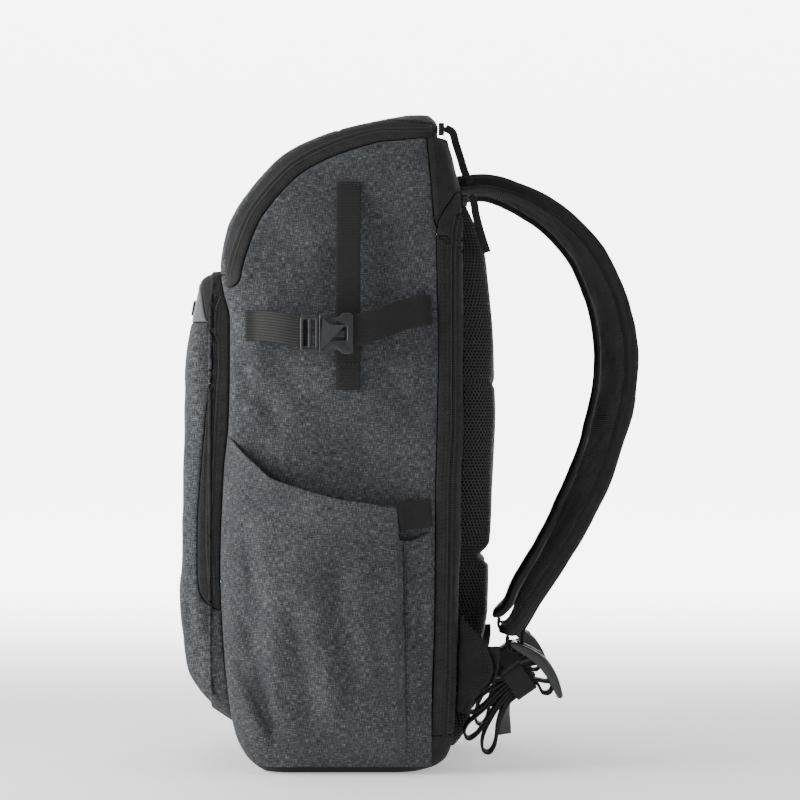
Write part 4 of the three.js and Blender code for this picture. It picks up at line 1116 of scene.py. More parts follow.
def padded_panel(sheet, node, name, finish, slot, folds, depth, radius, thick, fill):
    """A panel that is folded, pressed down at its seams and made. Its sizes are in millimetres."""
    if folds:
        table_rows, slack, seed = folds
        sheet = side_folds(sheet, table_rows, slack * MM, seed)
    sheet = pressed(sheet, depth * MM, radius * MM)
    if node in CAPPED:
        sheet["weld"] = True
    piece = make(name, sheet, [finish], slot, [node], thick * MM, box_uv)


for row in BODY_PANELS:
    padded_panel(panels[row[0]], *row)

# %% [markdown]
# ## Front pocket
# The front pocket is a tub of the same heather cloth, sewn to the bag round its back edge. A smooth
# patch closes its top, and a wide zip gusset runs down both sides. It is cut from one sheet too,
# and what would lie inside the bag is cut away where the two meet.

# %% Front pocket
POCKET_PROUD = 35.5 * MM
POCKET_WIDTH = 0.244
POCKET_HEIGHT = 0.316
POCKET_BOTTOM = 33 * MM
POCKET_CORNER = 14 * MM
PATCH_SEAM = 0.886
POCKET = table("z proud half", [
    [0, 0.1, 0.8],
    [0.049, 0.58, 0.9],
    [0.078, 0.74, 0.94],
    [0.111, 0.87, 0.965],
    [0.133, 0.9, 0.98],
    [0.189, 0.92, 1],
    [0.244, 0.94, 1],
    [0.353, 0.88, 1],
    [0.62, 0.97, 1],
    [0.753, 1.01, 1],
    [0.82, 0.98, 0.985],
    [0.892, 0.88, 0.94],
    [0.953, 0.65, 0.87],
    [0.975, 0.58, 0.82],
    [0.987, 0.48, 0.78],
    [1, 0.26, 0.72],
])
POCKET_ZIP = [
    (1.3, 1), (0.62, 0.985), (0.52, 0.955), (0.42, 0.905), (0.3, 0.87), (0.26, 0.8),
    (0.4, 0.66), (0.5, 0.53), (0.56, 0.42), (0.56, 0.34), (0.5, 0.29), (0.2, 0.255), (-0.5, 0.24),
]
POCKET_PLANE = -0.49 * DEPTH
POCKET_ROWS = 150
POCKET_COUNTS = (104, 12, 26)
POCKET_BOW = 5 * MM


def pocket_section(z):
    """Front, half width of the pocket at a height."""
    share = (z - POCKET_BOTTOM) / POCKET_HEIGHT
    front = body_at(z)[0] - POCKET("proud", share) * POCKET_PROUD
    return front, POCKET("half", share) * POCKET_WIDTH / 2


def outside_bag(co):
    """Positive outside the body: a rounded rectangle's distance at each height."""
    front, rear, half = body_at(co[:, 2])
    turn = np.minimum(CORNER, (rear - front) * 0.45)
    qx = np.abs(co[:, 0]) - (half - turn)
    qy = np.abs(co[:, 1] - (front + rear) / 2) - ((rear - front) / 2 - turn)
    out = np.hypot(np.maximum(qx, 0), np.maximum(qy, 0)) + np.minimum(np.maximum(qx, qy), 0)
    return out - turn - GAP


def pocket_sheet():
    fine = np.linspace(0, 1, 900)
    proud, half = POCKET("proud", fine) * POCKET_PROUD, POCKET("half", fine) * POCKET_WIDTH / 2
    moves = np.sqrt((np.diff(fine) * POCKET_HEIGHT) ** 2 + np.diff(proud) ** 2 + np.diff(half) ** 2)
    along = np.concatenate([[0], np.cumsum(moves)])
    levels = np.interp(np.linspace(0, along[-1], POCKET_ROWS), along, fine)
    heights = POCKET_BOTTOM + levels * POCKET_HEIGHT
    rises = np.interp(levels, fine, along)

    def ring_at(z):
        front, half = (float(v) for v in pocket_section(z))
        ring = plan_ring(front, -0.3 * DEPTH, half, POCKET_CORNER, 0, POCKET_COUNTS)
        fore = smoothstep((-0.55 * DEPTH - ring[:, 1]) / (6 * MM))
        bow = POCKET_BOW * (ring[:, 0] / half) ** 2 * fore
        return ring + np.column_stack([np.zeros(len(ring)), bow])

    return closed_stack(ring_at, heights, rises)


def pocket_z(share):
    return POCKET_BOTTOM + share * POCKET_HEIGHT


zip_places = [(POCKET_PLANE - proud * POCKET_PROUD, pocket_z(z)) for proud, z in POCKET_ZIP]
zip_edge = rounded(zip_places, 1.5 * MM)
behind_zip = outline(zip_edge, [(0, pocket_z(0.24)), (0, HEIGHT), (zip_places[0][0], HEIGHT)])
seam_z = pocket_z(PATCH_SEAM)
above_seam = outline([(-2 * DEPTH, seam_z), (0, seam_z), (0, TOP), (-2 * DEPTH, TOP)])
tub, _ = divide(pocket_sheet(), outside_bag)
pocket_gusset, face = divide(tub, behind_zip)
patch, face = divide(face, above_seam)

FRONT_FOLDS = [
    (-0.62, 0.32, -0.7, 0.13, 6, 2.4),
    (-0.58, 0.22, -0.64, 0.1, 5, 1.8),
    (-0.66, 0.26, -0.6, 0.17, 5, 1.4),
]
front = ("front_pocket", "front_pocket_cloth", HEATHER, "heather_cloth")
padded_panel(face, *front, (FRONT_FOLDS, 1.4, 11), 1.2, 3, 1.6, 0.4)
front = ("front_patch", "front_patch_cloth", PATCH, "patch_cloth")
padded_panel(patch, *front, ([], 0.5, 12), 1.1, 2.6, 1.6, 0.3)
front = ("front_pocket_gusset", "front_zip_tape", TAPE, "zip_tape")
padded_panel(pocket_gusset, *front, ([], 0.4, 13), 1.0, 2.4, 1.6, 0.2)

# %% [markdown]
# ## Side pockets
# Each side pocket is one sheet of heather cloth laid over the side panel. It is sewn down at its
# front, foot and rear, and its rim stands off so that a bottle goes in. The rim slopes down to the
# rear, where an elastic band carries on to the gusset. The cloth swells upwards from the foot and
# falls in long slanting folds at the front, with a sewn pleat near the rear.

# %% Side pocket form
MOUTH = 22 * MM
POCKET_CLOTH = 1.7 * MM
RIM = table("y rim foot off", [
    [-0.5, 0.508, 0.085, 0],
    [-0.49, 0.508, 0.072, 0.02],
    [-0.46, 0.502, 0.056, 0.1],
    [-0.41, 0.483, 0.03, 0.28],
    [-0.35, 0.464, 0.0125, 0.5],
    [-0.293, 0.446, 0.0105, 0.68],
    [-0.2, 0.434, 0.0105, 0.88],
    [-0.1, 0.423, 0.0105, 0.98],
    [0, 0.414, 0.0105, 1],
    [0.1, 0.409, 0.0105, 0.92],
    [0.17, 0.404, 0.0105, 0.72],
    [0.218, 0.402, 0.0105, 0.48],
    [0.232, 0.352, 0.0105, 0.36],
    [0.27, 0.352, 0.0105, 0.24],
    [0.32, 0.359, 0.0105, 0.1],
    [0.362, 0.365, 0.0105, 0],
])
SWELL = table("up off", [
    [0, 0], [0.04, 0.16], [0.12, 0.42], [0.25, 0.62], [0.45, 0.76], [0.7, 0.88], [0.88, 0.95], [1, 1],
])
POCKET_FOLDS = [
    # from y, z, to y, z in shares of DEPTH and HEIGHT, width and depth in millimetres
    (-0.5, 0.21, -0.2, 0.03, 6, 5.5),
    (-0.49, 0.31, -0.27, 0.08, 8, 6),
    (-0.44, 0.4, -0.3, 0.18, 7, 4),
    (-0.35, 0.17, -0.27, 0.02, 4, 4),
    (-0.49, 0.14, -0.36, 0.05, 4, 2.4),
    (-0.47, 0.4, -0.44, 0.2, 5, 1.8),
    (-0.22, 0.29, -0.1, 0.04, 9, 4),
    (-0.04, 0.36, 0.06, 0.08, 10, 3.4),
    (0.1, 0.3, 0.2, 0.06, 7, 2.6),
    (-0.3, 0.42, -0.05, 0.34, 9, 1.3),
    (0.27, 0.3, 0.33, 0.06, 5, 1.6),
]
PLEAT = (0.24, 0.345, 0.258, 0.012)  # the sewn pleat's top and foot
FRONT_ROW, REAR_ROW = -0.5, 0.362
COLUMNS, LEVELS = 150, 120
HEM = 25 * MM
STEP_Y = (0.216, 0.234)  # the rim steps down here, so its columns are closer
RIM_SHARE, RIM_LEVELS = 0.93, 24
SIDES = (("right", 1), ("left", -1))


def pocket_tall(y):
    """From foot to rim, in shares of HEIGHT."""
    return RIM("rim", y) - RIM("foot", y)


def pocket_surface(y, up):
    """Points of the right side pocket's outer face: y in shares of DEPTH, up from foot to rim."""
    z = HEIGHT * (RIM("foot", y) + pocket_tall(y) * up)
    front = body_at(z)[0]
    depth = np.maximum(y * DEPTH, front + 0.7 * MM)
    swell = RIM("off", y) * SWELL("off", up)
    flat = np.stack([np.zeros_like(depth), depth, z], -1).reshape(-1, 3)
    fold = sum(
        crease(flat, (a * DEPTH, b * HEIGHT), (c * DEPTH, d * HEIGHT), w * MM, k * MM)
        for a, b, c, d, w, k in POCKET_FOLDS
    ).reshape(depth.shape)
    a, b, c, d = PLEAT
    pleat = a + (c - a) * np.clip((b - z / HEIGHT) / (b - d), 0, 1)
    behind = (depth / DEPTH - pleat) * DEPTH
    lip = 3.4 * MM * np.exp(-np.maximum(-behind, 0) / (16 * MM)) * (behind < 0)
    groove = 2.8 * MM * np.exp(-((behind / (2.0 * MM)) ** 2))
    held = smoothstep((pleat + 0.16 - y) / 0.1)
    soft = 1.5 * MM * drift(flat, 34 * MM, 21) + 0.7 * MM * drift(flat, 14 * MM, 22)
    lift = swell * MOUTH + (fold + soft.reshape(depth.shape)) * np.minimum(1, 3 * swell)
    near_pleat = held * np.minimum(1, 4 * swell) * smoothstep((b + 0.02 - z / HEIGHT) / 0.03)
    lift = lift + (lip - groove) * near_pleat
    x = side_x(depth, z) + np.maximum(lift, 0) + 2.0 * MM
    return np.stack([x, depth, z], -1)


def hem_press(y, up):
    """The hem: a double cloth above its row of stitches, pressed in along the row."""
    below = (1 - up) * HEIGHT * pocket_tall(y)
    row = np.exp(-(((below - HEM) / (1.6 * MM)) ** 2))
    rim = 1 - smoothstep(below / (1.5 * MM))
    return -1.1 * MM * row - 0.5 * MM * rim


def side_pocket(side):
    y = np.linspace(FRONT_ROW, REAR_ROW, COLUMNS)
    steep = np.linspace(*STEP_Y, 9)
    y = np.sort(np.concatenate([y[(y < STEP_Y[0]) | (y > STEP_Y[1])], steep]))
    low = np.linspace(0, RIM_SHARE, LEVELS - RIM_LEVELS, endpoint=False)
    up = np.concatenate([low, np.linspace(RIM_SHARE, 1, RIM_LEVELS)])
    grid_y, grid_up = np.meshgrid(y, up)
    points = pocket_surface(grid_y, grid_up)
    points[..., 0] += hem_press(grid_y, grid_up)
    across = lengths_along(points[LEVELS // 2])
    uv = np.stack([np.broadcast_to(across, grid_y.shape), points[..., 2]], -1)
    points[..., 0] *= side
    sheet = grid_sheet(points, uv)
    return sheet if side > 0 else flip(sheet)


for name, side in SIDES:
    cloth = side_pocket(side)
    nodes = [f"side_pocket_{name}"]
    pocket = make(f"side_pocket_cloth_{name}", cloth, [HEATHER], "heather_cloth", nodes, POCKET_CLOTH)

# %% [markdown]
# ## Webbing
# Webbing is flat and stiff across and bends only along its length, so it is swept along a smooth
# line with a flat section whose edges are rounded. Its UV map runs across it and along it in
# metres, so that its ribs stay square to its edges in every bend.

# %% Sweeping a section
def course(points, step):
    """A smooth curve through places, in even steps. A place may hold more numbers than x, y, z."""
    p = np.array(points, float)
    p = np.vstack([2 * p[0] - p[1], p, 2 * p[-1] - p[-2]])
    spans = np.maximum(np.linalg.norm(np.diff(p[:, :3], axis=0), axis=1), 1e-6)
    knots = np.concatenate([[0], np.cumsum(spans**0.5)])
    fine = []
    for i in range(1, len(p) - 2):
        t0, t1, t2, t3 = knots[i - 1 : i + 3]
        t = np.linspace(t1, t2, 24, endpoint=False)[:, None]
        a1 = (t1 - t) / (t1 - t0) * p[i - 1] + (t - t0) / (t1 - t0) * p[i]
        a2 = (t2 - t) / (t2 - t1) * p[i] + (t - t1) / (t2 - t1) * p[i + 1]
        a3 = (t3 - t) / (t3 - t2) * p[i + 1] + (t - t2) / (t3 - t2) * p[i + 2]
        b1 = (t2 - t) / (t2 - t0) * a1 + (t - t0) / (t2 - t0) * a2
        b2 = (t3 - t) / (t3 - t1) * a2 + (t - t1) / (t3 - t1) * a3
        fine.append((t2 - t) / (t2 - t1) * b1 + (t - t1) / (t2 - t1) * b2)
    fine = np.vstack(fine + [p[-2:-1]])
    at = lengths_along(fine[:, :3])
    even = np.linspace(0, at[-1], max(int(round(at[-1] / step)), 2) + 1)
    return np.stack([np.interp(even, at, fine[:, k]) for k in range(fine.shape[1])], 1)


def frames(points, across):
    """Tangent, side and normal at each point. The side follows the wanted direction across."""
    along = unit(np.gradient(points, axis=0))
    across = np.broadcast_to(np.asarray(across, float), points.shape)
    normal = unit(np.cross(along, across))
    return along, np.cross(normal, along), normal


def flat_section(width, thick, corners=5):
    """A flat section with round edges, anticlockwise, its first point again last."""
    r = thick / 2
    points = []
    for k in range(corners + 1):
        turn = math.radians(-90 + 180 * k / corners)
        points.append((width / 2 - r + r * math.cos(turn), r * math.sin(turn)))
    for k in range(1, 6):
        points.append((width / 2 - r - (width - 2 * r) * k / 6, r))
    points += [(-a, -b) for a, b in points]
    return np.array(points + points[:1])


def swept(points, across, sections, ends=True):
    """A closed sheet: a section, or one for each station, carried along points."""
    along, side, normal = frames(points, across)
    sections = np.broadcast_to(sections, (len(points), *np.shape(sections)[-2:]))
    rings = points[:, None] + sections[..., :1] * side[:, None] + sections[..., 1:] * normal[:, None]
    run, around = lengths_along(points), lengths_along(sections[0])
    uv = np.stack(np.broadcast_arrays(around[None, :], run[:, None]), -1)
    if ends:
        first = np.repeat(rings[:1].mean(1, keepdims=True), rings.shape[1], 1)
        last = np.repeat(rings[-1:].mean(1, keepdims=True), rings.shape[1], 1)
        rings = np.concatenate([first, rings, last])
        uv = np.concatenate([uv[:1], uv, uv[-1:]])
    return grid_sheet(rings, uv, wrap=True)


def joined(*sheets):
    """Several sheets as one, each with its own UV map kept."""
    made = {key: np.concatenate([s[key] for s in sheets]) for key in ("co", "uv")}
    start, tri = 0, []
    for s in sheets:
        tri.append(s["tri"] + start)
        start += len(s["co"])
    made["tri"] = np.concatenate(tri)
    made["weld"] = True
    return made


def mirror(sheet, side):
    """The sheet itself on the right, or its mirror image on the left with its faces turned back."""
    if side > 0:
        return sheet
    made = {**sheet, "co": sheet["co"] * np.array([-1, 1, 1])}
    return flip(made)


def both_sides(name, sheet, finish, slot, node):
    for label, side in SIDES:
        make(f"{name}_{label}", mirror(sheet, side), [finish], slot, [f"{node}_{label}"])


WEB_THICK = 1.6 * MM
bend = course([(0, 0, 0), (0.1, 0, 0), (0.1, 0.1, 0)], 10 * MM)
print("a curve through three places, mm:", round(float(lengths_along(bend)[-1]) / MM, 1))

# %% Webbing of the side: handle and fastened strap
SIDE_WEB = 21 * MM
SIDE_STAND = 24 * MM
HANDLE_WEB = 17 * MM
HANDLE_STAND = 11 * MM
HANDLE_Y = 0.021
HANDLE = [
    (0.89, 0), (0.872, 0.04), (0.855, 0.35), (0.82, 0.8), (0.77, 1), (0.72, 0.9), (0.68, 0.55),
    (0.645, 0.15), (0.625, 0), (0.577, 0),
]
BUCKLE = {"length": 36 * MM, "width": 28 * MM, "thick": 8 * MM}
BUCKLE_Y, BUCKLE_Z = -0.064 * DEPTH, 0.66 * HEIGHT
SIDE_FRONT = [
    (0, 0.29, 0), (0.15, 0.29, 0.03), (0.24, 0.27, 0.25), (0.4, 0.24, 0.62), (0.62, 0.17, 0.88),
    (0.86, 0.09, 0.98), (0.94, 0.09, 1), (1, 0.09, 1),
]
SIDE_REAR = [
    (0, 0.8, 0), (0.07, 0.79, 0.02), (0.13, 0.77, 0.12), (0.22, 0.7, 0.4), (0.39, 0.57, 0.7),
    (0.59, 0.35, 0.9), (0.8, 0.17, 0.98), (0.95, 0.09, 1), (1, 0.09, 1),
]
SIDE_FEET = {"front": -0.4 * DEPTH, "rear": 0.362 * DEPTH}


def on_side(y, z, off):
    """A place on the right side panel, held off it, clear of the cloth's own drift."""
    x = float(side_x(y, z)) + 1.6 * MM + off
    return (x, y, z)


def webbing_piece(node, points, across, width, finish):
    """A flat strip of webbing through places, standing for one CAD node."""
    sheet = swept(course(points, 1.6 * MM), across, flat_section(width, WEB_THICK))
    make(f"{node}_webbing", sheet, [finish], "webbing", [node])


handle_places = [on_side(HANDLE_Y * DEPTH, z * HEIGHT, off * HANDLE_STAND) for z, off in HANDLE]
webbing_piece("side_handle", handle_places, (0, 1, 0), HANDLE_WEB, WEBBING)


def side_strap_places(rows, foot, sign):
    end = BUCKLE_Y + sign * (BUCKLE["length"] / 2 - 4.5 * MM)
    return [
        on_side(foot + (end - foot) * run, BUCKLE_Z + rise * SIDE_WEB, off * SIDE_STAND)
        for run, rise, off in rows
    ]


front_places = side_strap_places(SIDE_FRONT, SIDE_FEET["front"], -1)
rear_places = side_strap_places(SIDE_REAR, SIDE_FEET["rear"], 1)
webbing_piece("side_strap_front", front_places, (0, 0, 1), SIDE_WEB, RIBBED_LONG)
webbing_piece("side_strap_rear", rear_places, (0, 0, 1), SIDE_WEB, WEBBING)

# %% Pocket elastic
ELASTIC_PLACE = {"height": 0.042, "z": 0.3855, "slope": 0.0075}
elastic_rows = [(0.225, 0.44), (0.24, 0.34), (0.27, 0.24), (0.32, 0.1), (0.362, 0)]
places = []
for i, (y, off) in enumerate(elastic_rows):
    z = HEIGHT * (ELASTIC_PLACE["z"] + ELASTIC_PLACE["slope"] * i / 4)
    x = float(side_x(y * DEPTH, z)) + 1.8 * MM + 0.9 * off * MOUTH
    places.append((x, y * DEPTH, z))
section = flat_section(ELASTIC_PLACE["height"] * HEIGHT, WEB_THICK)
elastic = swept(course(places, 1.5 * MM), (0, 0, 1), section)
both_sides("pocket_elastic_band", elastic, ELASTIC, "webbing", "pocket_elastic")

# %% [markdown]
# ## Back pad
# The pad is foam under spacer mesh, with an air channel down its middle. Its open mesh shows big
# holes at the sides and a closer knit on its face. It swells between its seams, so its form is
# worked out row by row, with a sewn line where the lower pad meets the upper one.

# %% Pad form
PAD_PROUD = 21 * MM
PAD_WIDTH = 0.236
PAD_CHANNEL = 12 * MM
PAD_BOTTOM = 14 * MM
PAD_HEIGHT = 0.384
PAD = table("z proud half", [
    [0, 0.2, 0.66],
    [0.022, 0.38, 0.72],
    [0.047, 0.5, 0.75],
    [0.11, 0.6, 0.78],
    [0.22, 0.88, 0.82],
    [0.25, 0.93, 0.84],
    [0.33, 0.92, 0.89],
    [0.352, 0.7, 0.9],
    [0.375, 0.95, 0.92],
    [0.46, 1, 0.97],
    [0.56, 1, 1],
    [0.71, 0.99, 0.99],
    [0.76, 0.97, 0.97],
    [0.83, 0.85, 0.93],
    [0.9, 0.7, 0.87],
    [0.937, 0.53, 0.82],
    [0.97, 0.31, 0.76],
    [1, 0.1, 0.66],
])
PAD_ACROSS = table("x proud", [
    [0, 0], [0.13, 0.02], [0.2, 0.7], [0.26, 0.95], [0.36, 1.03], [0.6, 1.08], [0.82, 1.02],
    [0.9, 0.98], [0.965, 0.75], [0.99, 0.4], [1, 0],
])
PAD_LEVELS = 230
CHANNEL_HALF = 16 * MM
PAD_SEAMS = [(PAD_BOTTOM + 0.352 * PAD_HEIGHT, 2.2 * MM), (PAD_BOTTOM + 0.67 * PAD_HEIGHT, 1.6 * MM)]
FACE_SHARE = 0.84  # past this share of the half width the pad is open mesh


def back_pad():
    levels = np.linspace(0, 1, PAD_LEVELS)
    turn = np.linspace(0, 1, 46)
    x = np.concatenate([turn[:30] / turn[30] * 0.88, 0.88 + 0.12 * np.sin(np.linspace(0, math.pi / 2, 16))])
    rows, uvs, kinds = [], [], []
    for level in levels:
        z = PAD_BOTTOM + level * PAD_HEIGHT
        rear = float(body_at(z)[1]) + 0.5 * MM
        out = float(PAD("proud", level)) * PAD_PROUD
        half = float(PAD("half", level)) * PAD_WIDTH / 2
        bed = max(out - PAD_CHANNEL, out * 0.4)
        share = PAD_ACROSS("proud", x)
        y = np.where(x < 0.3, rear + bed + (out - bed) * share, rear + out * share)
        right = np.column_stack([x * half, y, np.full(len(x), z)])
        left = right * np.array([-1, 1, 1])
        ring = np.concatenate([left[::-1], right[1:]])
        rows.append(ring)
        around = lengths_along(ring)
        uvs.append(np.column_stack([around - around[-1] / 2, np.full(len(ring), z)]))
        kinds.append(np.concatenate([x[::-1], x[1:]]) > FACE_SHARE)
    rows, uvs = np.array(rows), np.array(uvs)
    puff = drift(rows.reshape(-1, 3), 30 * MM, 31).reshape(rows.shape[:2]) * 0.8 * MM
    rows[..., 1] += puff * smoothstep((1 - np.abs(rows[..., 0]) / (PAD_WIDTH / 2)) / 0.1)
    for z, strength in PAD_SEAMS:
        seam = np.exp(-(((rows[..., 2] - z - 0.1 * (np.abs(rows[..., 0]) - 0.09)) / (2.4 * MM)) ** 2))
        rows[..., 1] -= strength * seam * (np.abs(rows[..., 0]) > CHANNEL_HALF)
    sheet = grid_sheet(rows[:, ::-1], uvs[:, ::-1])
    sheet["finish"] = np.array(kinds)[:, ::-1].ravel().astype(float)
    return sheet


pad_piece = make("back_pad_mesh", back_pad(), [CLOSE_MESH, OPEN_MESH], "air_mesh", ["back_pad"], 3 * MM)

# %% [markdown]
# ## Shoulder straps
# A strap is a long foam pad: black cloth outside, open mesh inside and a smooth binding round its
# edge. It leaves the yoke flat, bows out behind the back and comes back in at the foot, where it
# narrows and takes the webbing. Its outer edge leans, so that the inner face shows from the side.

# %% Strap form
STRAP_REACH = 0.113
STRAP_WIDTH = 65 * MM
STRAP_THICK = 9.5 * MM
STRAP = [
    # y of STRAP_REACH, z of HEIGHT, x of half the WIDTH, lean in degrees, width of STRAP_WIDTH
    (0, 0.892, 0.35, 6, 0.84),
    (0.195, 0.893, 0.36, 6, 0.88),
    (0.502, 0.861, 0.39, 8, 0.95),
    (0.743, 0.809, 0.42, 10, 1),
    (0.901, 0.741, 0.45, 13, 1),
    (0.986, 0.662, 0.475, 15, 1),
    (0.986, 0.585, 0.5, 16, 1),
    (0.876, 0.475, 0.54, 15, 0.98),
    (0.726, 0.387, 0.61, 13, 0.95),
    (0.58, 0.321, 0.67, 10, 0.9),
    (0.416, 0.259, 0.722, 6, 0.84),
    (0.336, 0.224, 0.735, 3, 0.78),
    (0.262, 0.208, 0.742, 3, 0.72),
]
strap_root = float(body_at(0.877 * HEIGHT)[1]) + GAP
strap_rows = [
    (x * WIDTH / 2, strap_root + y * STRAP_REACH, z * HEIGHT, lean_at, width * STRAP_WIDTH)
    for y, z, x, lean_at, width in STRAP
]
strap_line = course(strap_rows, 2.2 * MM)
WEB_END = int(np.argmin(np.linalg.norm(strap_line[:, :3] - np.array(strap_rows[-2][:3]), axis=1)))
strap_points = strap_line[:, :3]
tangent = unit(np.gradient(strap_points, axis=0))
outward = unit(np.cross([1, 0, 0], tangent))
lean_angle = np.radians(strap_line[:, 3:4])
strap_across = np.cos(lean_angle) * np.array([1, 0, 0]) + np.sin(lean_angle) * outward
strap_face = unit(np.cross(strap_across, tangent))
BINDING = 5 * MM


def strap_section(width, thick, share):
    """A padded section: crowned faces, a pinched binding at each edge and two sewn lines outside."""
    half, edge = width / 2, 1.7 * MM
    across = np.concatenate([
        np.linspace(-half + edge, -half + BINDING, 4, endpoint=False),
        np.linspace(-half + BINDING, half - BINDING, 25, endpoint=False),
        np.linspace(half - BINDING, half - edge, 5),
    ])
    inner = np.clip((half - np.abs(across)) / (0.16 * width), 0, 1)
    rise = edge + (thick / 2 - edge) * np.sqrt(np.maximum(1 - (1 - inner) ** 2, 0))
    seams = 0.0
    for at in (-0.2, 0.2):
        seams = seams + np.exp(-(((across / width - at) * width / (1.5 * MM)) ** 2))
    rows = 1.3 * MM * seams * share
    bind = 0.5 * MM * np.exp(-(((half - np.abs(across) - BINDING) / (1.0 * MM)) ** 2))
    outer = np.column_stack([across, rise - rows - bind])
    lining = np.column_stack([across, -(rise - bind)])
    corner = [(half - edge + edge * math.cos(a), edge * math.sin(a)) for a in np.linspace(-1.35, 1.35, 7)]
    far = [(-a, -b) for a, b in corner]
    ring = np.concatenate([lining, corner, outer[::-1], far])
    kind = np.concatenate([np.abs(across) < half - BINDING, np.zeros(len(ring) - len(lining))])
    return np.concatenate([ring, ring[:1]]), np.concatenate([kind, kind[:1]])


def strap_sheet():
    sections, kinds = [], []
    count = len(strap_points)
    for i, width in enumerate(strap_line[:, 4]):
        share = smoothstep((0.42 - i / count) / 0.1)
        end = math.sqrt(max(1 - max(1 - (count - 1 - i) / 3, 0) ** 2, 0.05))
        section, kind = strap_section(width, STRAP_THICK, share)
        sections.append(section * [1, end])
        kinds.append(kind)
    sheet = swept(strap_points, -strap_across, np.array(sections))
    kinds = np.array(kinds)
    sheet["finish"] = np.concatenate([kinds[:1] * 0, kinds, kinds[-1:] * 0]).ravel()
    co = sheet["co"]
    facing = normals(sheet)
    wave = 0.7 * MM * drift(co, 24 * MM, 41) + 0.3 * MM * drift(co, 9 * MM, 42)
    sheet["co"] = co + facing * wave[:, None]
    return sheet


strap = strap_sheet()
for name, side in SIDES:
    nodes = [f"shoulder_strap_{name}"]
    looks = [STRAP_BLACK, CLOSE_MESH]
    piece = make(f"shoulder_strap_pad_{name}", mirror(strap, side), looks, "black_cloth", nodes)

# %% [markdown]
# ## Webbing and lock at the foot of a strap
# A webbing strip is sewn on the strap's outer face and ends in a loop that holds a ladder lock. The
# wing's webbing runs through the lock, and its long tail is folded into a bundle that an elastic
# keeper holds. Each length is one ribbon swept through the places where it bends.

# %% Ribbons
def ribbon(rows, width, thick, step=1.3 * MM):
    """Webbing through rows of (place, direction across)."""
    line = course([np.concatenate([place, across]) for place, across in rows], step)
    return swept(line[:, :3], line[:, 3:6], flat_section(width, thick))


ACROSS = np.array([1.0, 0, 0])
ADJUST_WEB = 25 * MM
LOCK_LENGTH = 46 * MM
LOCK_BOW = 6 * MM
LOCK_BAR = 4.6 * MM
LOCK_SHARES = (0, 0.37, 0.6)
LOOP = [(5.6, 8), (5.6, 2.2), (3.9, -3), (-0.3, -5.1), (-4.7, -2.2), (-5.2, 2.5), (-4.6, 5.5)]
WEB_FROM = 0.567 * HEIGHT
lock_bar = strap_points[WEB_END] + np.array([0, -0.6, -15]) * MM
lock_down = unit([0, 0.67, -0.742])
lock_out = np.cross(ACROSS, lock_down)


def strap_webbing():
    start = int(np.argmax((strap_points[:, 2] < WEB_FROM) & (np.arange(len(strap_points)) > 20)))
    off = STRAP_THICK / 2 + GAP + WEB_THICK / 2 + 0.5 * MM
    rows = [(strap_points[i] + strap_face[i] * off, strap_across[i]) for i in range(start, WEB_END + 1, 4)]
    rows += [(lock_bar + np.array([0, y, z]) * MM, ACROSS) for y, z in LOOP]
    return ribbon(rows, ADJUST_WEB, 1.8 * MM)


both_sides("strap_webbing_ribbon", strap_webbing(), WEBBING, "webbing", "strap_webbing")

# %% [markdown]
# The lock is one moulding: two curved rails with three round bars between them and a broad grip
# below. Its rails are rounded strips, which is how the real one feels in the hand.

# %% Ladder lock
def soft_box(width, height, radius, corners=4):
    """A rectangle with round corners, anticlockwise, its first point again last."""
    ring = []
    for sx, sy, start in ((1, -1, -90), (1, 1, 0), (-1, 1, 90), (-1, -1, 180)):
        for k in range(corners + 1):
            turn = math.radians(start + 90 * k / corners)
            ring.append((
                sx * (width / 2 - radius) + radius * math.cos(turn),
                sy * (height / 2 - radius) + radius * math.sin(turn),
            ))
    return np.array(ring + ring[:1])


def lock_point(share, x=0.0):
    bow = LOCK_BOW * math.sin(math.pi * share)
    return lock_bar + lock_down * share * LOCK_LENGTH + lock_out * bow + ACROSS * x


def lock_strip(first, last, x, width, height):
    """A rounded strip along the lock's curve, height(share) thick, with round ends."""
    steps = np.linspace(0, 1, 26)
    points = np.array([lock_point(first + (last - first) * t, x) for t in steps])
    sections = []
    for t in steps:
        end = math.sqrt(max(1 - max(1 - min(t, 1 - t) * 9, 0) ** 2, 0.04))
        tall = height(first + (last - first) * t) * end
        sections.append(soft_box(width, tall, min(1.3 * MM, tall * 0.45)))
    return swept(points, ACROSS, np.array(sections))


def ladder_lock():
    inner, rail = ADJUST_WEB / 2 + 1.5 * MM, 4 * MM

    def rail_height(share):
        return 2 * (2.4 + 1.4 * math.sin(math.pi * min(max(share, 0), 1))) * MM

    def grip_height(share):
        return (4.0 + 1.2 * math.sin(math.pi * (share - 0.74) / 0.32)) * MM

    pieces = [lock_strip(-0.08, 1.04, side * (inner + rail / 2), rail, rail_height) for side in (-1, 1)]
    pieces.append(lock_strip(0.74, 1.05, 0, 2 * inner + rail, grip_height))
    circle = soft_box(LOCK_BAR, LOCK_BAR, LOCK_BAR / 2 * 0.999, 5)
    for share in LOCK_SHARES:
        places = np.linspace(-inner - rail / 2, inner + rail / 2, 6)
        pieces.append(swept(np.array([lock_point(share, x) for x in places]), lock_down, circle))
    return joined(*pieces)


both_sides("ladder_lock_moulding", ladder_lock(), PLASTIC, "moulded_plastic", "ladder_lock")

# %% Wing
WING = {"reach": 25 * MM, "height": 67 * MM, "z": 41.5 * MM, "x": 127 * MM, "thick": 3 * MM}
WING_EDGE = table("z reach", [
    [0, 0.36], [0.15, 0.5], [0.3, 0.74], [0.46, 1], [0.56, 0.92], [0.68, 0.78], [0.86, 0.35], [1, 0.05],
])


def wing_root(z):
    return float(body_at(z)[1]) + GAP


